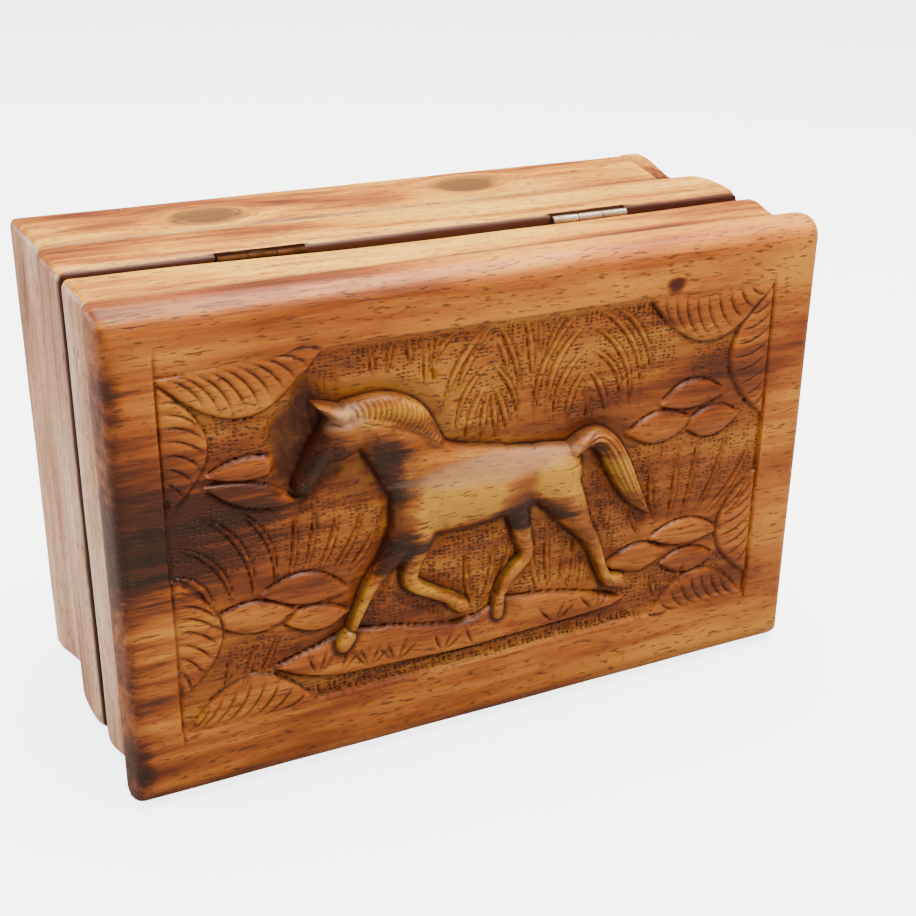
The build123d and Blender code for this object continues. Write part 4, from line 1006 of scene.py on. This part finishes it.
def carved_horse():
    """The horse in high relief, cut out along its outline and standing out of the board."""
    horse, x, z = add_grid("carved_horse", np.arange(*HORSE_X, HORSE_GRID), np.arange(*HORSE_Z, HORSE_GRID))
    _, reach = build_horse(x, z)
    corners = np.empty(len(horse.data.polygons) * 4, int)
    horse.data.polygons.foreach_get("vertices", corners)
    outside = reach[corners.reshape(-1, 4)].mean(1) > 0
    bpy.ops.object.mode_set(mode="EDIT")
    bpy.context.tool_settings.mesh_select_mode = (False, False, True)
    bpy.ops.mesh.select_all(action="DESELECT")
    bpy.ops.object.mode_set(mode="OBJECT")
    write_points(horse, np.column_stack([x, np.full_like(x, FACE_Y), z]))
    horse.data.polygons.foreach_set("select", outside)
    bpy.ops.object.mode_set(mode="EDIT")
    bpy.ops.mesh.delete(type="FACE")
    bpy.context.tool_settings.mesh_select_mode = (True, False, False)
    bpy.ops.mesh.select_all(action="DESELECT")
    bpy.ops.mesh.select_non_manifold()
    bpy.ops.object.mode_set(mode="OBJECT")
    rim = np.zeros(len(horse.data.vertices), bool)
    horse.data.vertices.foreach_get("select", rim)
    points = read_points(horse)
    x, z = points[:, 0].copy(), points[:, 2].copy()
    for _ in range(3):
        here = build_horse(x[rim], z[rim])[1]
        slope_x = (build_horse(x[rim] + 0.05, z[rim])[1] - here) / 0.05
        slope_z = (build_horse(x[rim], z[rim] + 0.05)[1] - here) / 0.05
        steep = np.maximum(slope_x ** 2 + slope_z ** 2, 0.3)
        x[rim] -= 0.8 * here * slope_x / steep
        z[rim] -= 0.8 * here * slope_z / steep
    relief = Relief(x, z)
    relief.height, reach = build_horse(x, z)
    relief.height = np.maximum(relief.height, DEEP_GROUND) + 0.05 * np.sin(x * 1.1) * np.sin(z * 1.3)
    groom(relief)
    write_points(horse, np.column_stack([x, FACE_Y - relief.height, z + LOW]) * MM)
    bpy.ops.object.mode_set(mode="EDIT")
    bpy.context.tool_settings.mesh_select_mode = (False, True, False)
    bpy.ops.mesh.select_all(action="DESELECT")
    bpy.ops.mesh.select_non_manifold()
    bpy.ops.mesh.extrude_edges_move(TRANSFORM_OT_translate={"value": (0, (HORSE_ROOT + DEEP_GROUND) * MM, 0)})
    bpy.ops.mesh.edge_face_add()
    bpy.ops.object.mode_set(mode="OBJECT")
    # painted shade: the horse's cut sides and the rim of its outline are made dark
    stain_and_shade = np.full(len(horse.data.vertices), 0.9)
    stain_and_shade[:len(x)] = np.maximum(relief.stain_and_shade, 0.75 * smooth(reach, -0.9, -0.1))
    write_layer(horse, "stain_and_shade", stain_and_shade)
    finish_mesh(horse, 60.0)
    return horse


fit(carved_board(), "lid", board_wood, "carved_rosewood", "lid_panel")
fit(carved_horse(), "lid", horse_wood, "carved_rosewood", "lid_panel")


# --- Hinge seats -------------------------------------------------------------------------
LEAF_SEAT = 0.97          # depth of the seat cut for a leaf
KNUCKLE_SEAT = 1.8        # half width of the notch cut for the knuckles


def darken_cut(piece, low, high):
    """Makes the wood that a cut has laid bare fully dark."""
    points = read_points(piece) / MM
    bare = (points > low).all(1) & (points < high).all(1)
    for i in np.flatnonzero(bare).tolist():
        piece.data.attributes["stain_and_shade"].data[i].value = 1.2


for side_name, strip, direction in (("lid", rails["rear"], -1), ("body", walls["rear"], 1)):
    for hand in ("left", "right"):
        low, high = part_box("hinge_" + hand + "_" + side_name + "_leaf")
        pin_low, pin_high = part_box("hinge_" + hand + "_pin")
        _, y_pin, z_pin = (pin_low + pin_high) / 2 / MM
        x_low, x_high = low.x / MM, high.x / MM
        leaf = sorted((y_pin, y_pin + direction * LEAF_SEAT))
        y_low, y_high = y_pin - KNUCKLE_SEAT, y_pin + KNUCKLE_SEAT
        cut_away(strip, (x_low - 0.1, leaf[0], low.z / MM), (x_high + 0.1, leaf[1], z_pin + 3))
        cut_away(strip, (x_low - 0.3, y_low, z_pin - KNUCKLE_SEAT), (x_high + 0.3, y_high, z_pin + 4))
        darken_cut(strip, (x_low - 0.4, y_low - 0.05, low.z / MM - 0.1), (x_high + 0.4, y_high + 0.05, HIGH))

# --- Sliding mouldings: dovetails, pin slots, keyhole and key pocket, as in the CAD -------------
DOVETAIL_DEPTH = 72.2     # centre line of the dovetails
DOVETAIL_ROOT, DOVETAIL_TIP, DOVETAIL_REACH = 1.7, 2.5, 2.7
TONGUE = {"front": (-60.0, 30.0), "right": (18.0, 64.0)}
TRAVEL = {"front": 45.0, "right": 38.0}
PIN_PLACE, PIN_DEPTH = {"front": 10.0, "right": 80.0}, 66.2
LOCK_X, KEYHOLE_DEPTH = -52.0, 63.0
KEYHOLE_ROUND, KEYHOLE_SLOT, KEYHOLE_LONG = 1.8, 0.9, 4.6
POCKET_SPAN, POCKET_DEPTHS, POCKET_SINK = (12.0, 43.0), (60.0, 68.4), 3.2


def dovetail(side, span, play=0.0):
    """Bar that widens inwards: a slide's tongue or, with play, the groove that it runs in."""
    bpy.ops.object.select_all(action="DESELECT")
    bpy.ops.mesh.primitive_cube_add(size=1.0)
    bar = bpy.context.object
    along, across, inwards = (read_points(bar) > 0).T
    half = np.where(inwards, DOVETAIL_TIP, DOVETAIL_ROOT) + play
    y = FACE_Y + DOVETAIL_DEPTH + np.where(across, half, -half)
    inset = np.where(inwards, BASE_THICK + DOVETAIL_REACH + play, BASE_THICK - 0.5)
    along = np.where(along, span[1], span[0])
    spots = (along, y, LOW + inset) if side == "front" else (HALF - inset, y, along)
    write_points(bar, np.column_stack(spots) * MM)
    finish_mesh(bar)
    return bar


def cut_from_side(piece, side, span, depths, insets):
    """Takes out a block given along a side, by depth and by inset from the outline."""
    y = (FACE_Y + depths[0], FACE_Y + depths[1])
    if side == "front":
        cut_away(piece, (span[0], y[0], LOW + insets[0]), (span[1], y[1], LOW + insets[1]))
    else:
        cut_away(piece, (HALF - insets[1], y[0], span[0]), (HALF - insets[0], y[1], span[1]))


for side, open_end in (("front", HALF), ("right", HIGH)):
    start, end = TONGUE[side]
    combine(walls[side], dovetail(side, (start - 1, open_end + 2), 0.15), "DIFFERENCE")
    combine(bases[side], dovetail(side, (start, end)), "UNION")
    cut_from_side(bases[side], side, (PIN_PLACE[side] - TRAVEL[side] - 1, PIN_PLACE[side] + 1),
                  (PIN_DEPTH - 1, PIN_DEPTH + 1), (BASE_THICK - 2.15, BASE_THICK + 1))
cut_from_side(walls["right"], "right", POCKET_SPAN, POCKET_DEPTHS, (0, BASE_THICK + SLIDE_GAP + POCKET_SINK))
cut_from_side(walls["front"], "front", (LOCK_X - KEYHOLE_SLOT, LOCK_X + KEYHOLE_SLOT),
              (KEYHOLE_DEPTH, KEYHOLE_DEPTH + KEYHOLE_LONG), (0, WALL + 1))
bpy.ops.object.select_all(action="DESELECT")
bpy.ops.mesh.primitive_cylinder_add(vertices=32, radius=KEYHOLE_ROUND * MM, depth=30 * MM,
                                    location=(LOCK_X * MM, (FACE_Y + KEYHOLE_DEPTH) * MM, LOW * MM))
bpy.ops.object.transform_apply(location=True, rotation=True, scale=True)
combine(walls["front"], bpy.context.object, "DIFFERENCE")

# --- Every piece gets its material and its body ------------------------------------------
end_woods = {"left": side_z_wood, "right": right_z_wood}
for side in sides:
    slides = side in TONGUE
    fit(rails[side], "lid", end_woods.get(side, side_x_wood), "varnished_rosewood", "lid_rail_" + side)
    fit(walls[side], "box", end_woods.get(side, side_x_wood), "varnished_rosewood", "wall_" + side)
    fit(bases[side], side + "_slide" if slides else "box", end_woods.get(side, base_x_wood),
        "varnished_rosewood", "base_moulding_" + side + ("_slide" if slides else ""))

# the metal pieces and the bottom keep their CAD shape
for cad, material in (("bottom_panel", inner_wood), ("lock_back_plate", brass), ("lock_case", brass),
                      ("lock_bolt", steel), ("lock_screws", steel), ("lid_keeper", brass),
                      ("keeper_screws", steel), ("slide_stop_pins", steel), ("key", brass),
                      ("hinge_screws_body", steel),
                      ("hinge_screws_lid", steel), ("hinge_left_pin", steel), ("hinge_right_pin", steel),
                      ("hinge_left_body_leaf", shaded_steel_leaf), ("hinge_left_lid_leaf", shaded_steel_leaf),
                      ("hinge_right_body_leaf", nickel), ("hinge_right_lid_leaf", nickel)):
    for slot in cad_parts[cad].material_slots:
        slot.material = material


# --- Room: floor, light and camera -------------------------------------------------------
def add_floor():
    """Matt white seamless paper under and behind the box.

    To the eye it is as white as a light table; the light that it throws back on the box is dimmer."""
    bpy.ops.object.select_all(action="DESELECT")
    bpy.ops.mesh.primitive_plane_add(size=8.0, location=(0, 0, -0.0002))
    floor = bpy.context.object
    floor.name = "paper_floor"
    made, tree, shader = new_material("matt_white_paper")
    shader.inputs["Base Color"].default_value = linear("#F6F6F5")
    shader.inputs["Roughness"].default_value = 0.9
    shader.inputs["Specular IOR Level"].default_value = 0.1
    glow = node(tree, "Emission", {"Color": linear("#F4F5F7"), "Strength": 4.2}).outputs[0]
    seen = node(tree, "AddShader", {0: shader.outputs[0], 1: glow}).outputs[0]
    dim = node(tree, "BsdfDiffuse", {"Color": linear("#A8A29A")}).outputs[0]
    ray = node(tree, "LightPath").outputs["Is Camera Ray"]
    paper = node(tree, "MixShader", {0: ray, 1: dim, 2: seen}).outputs[0]
    tree.links.new(paper, tree.nodes["Material Output"].inputs["Surface"])
    floor.data.materials.append(made)


def add_light(name, spot, target, size, power, code="#FFFFFF"):
    """Soft rectangular light at a spot, aimed at a target."""
    lamp = bpy.data.lights.new(name, "AREA")
    lamp.shape = "RECTANGLE"
    lamp.size, lamp.size_y = size
    lamp.energy = power
    lamp.color = linear(code)[:3]
    made = bpy.data.objects.new(name, lamp)
    bpy.context.collection.objects.link(made)
    made.location = spot
    made.rotation_mode = "QUATERNION"
    made.rotation_quaternion = (Vector(target) - Vector(spot)).to_track_quat("-Z", "Y")


add_floor()
centre = (0.0, 0.0, 0.055)
add_light("overhead_softbox", (0.12, 0.10, 1.0), centre, (0.9, 0.8), 27.0, "#FFF3E2")
add_light("front_fill", (0.55, -0.95, 0.75), centre, (0.7, 0.7), 2.5, "#FFF6EA")
add_light("near_top_lamp", (0.06, -0.17, 0.38), centre, (0.16, 0.16), 1.15, "#FFF2E0")
add_light("left_card", (-0.95, 0.45, 0.35), centre, (0.9, 0.5), 15.0, "#F6F6FF")

world = bpy.data.worlds.new("pale_room")
bpy.context.scene.world = world
world.use_nodes = True
room = world.node_tree
room_light = room.nodes["Background"]
room_light.inputs["Color"].default_value = linear("#F2F3F5")
room_light.inputs["Strength"].default_value = 0.26
room_wall = node(room, "Background", {"Color": linear("#F2F3F5"), "Strength": 5.4})
seen = node(room, "LightPath").outputs["Is Camera Ray"]
around = node(room, "MixShader", {0: seen, 1: room_light.outputs[0], 2: room_wall.outputs[0]})
room.links.new(around.outputs[0], room.nodes["World Output"].inputs["Surface"])

camera = bpy.data.objects.new("camera", bpy.data.cameras.new("camera"))
bpy.context.collection.objects.link(camera)
camera.data.sensor_width = 36.0
camera.data.lens = 57.7
look = Vector((0.40890, 0.81805, -0.40447))
up = Vector((0.17165, 0.36636, 0.91450))
right = look.cross(up)
turn = Matrix((right, up, -look)).transposed().to_4x4()
camera.matrix_world = Matrix.Translation(Vector((-139.9, FACE_Y - 261.1, 198.8)) * MM) @ turn
bpy.context.scene.camera = camera
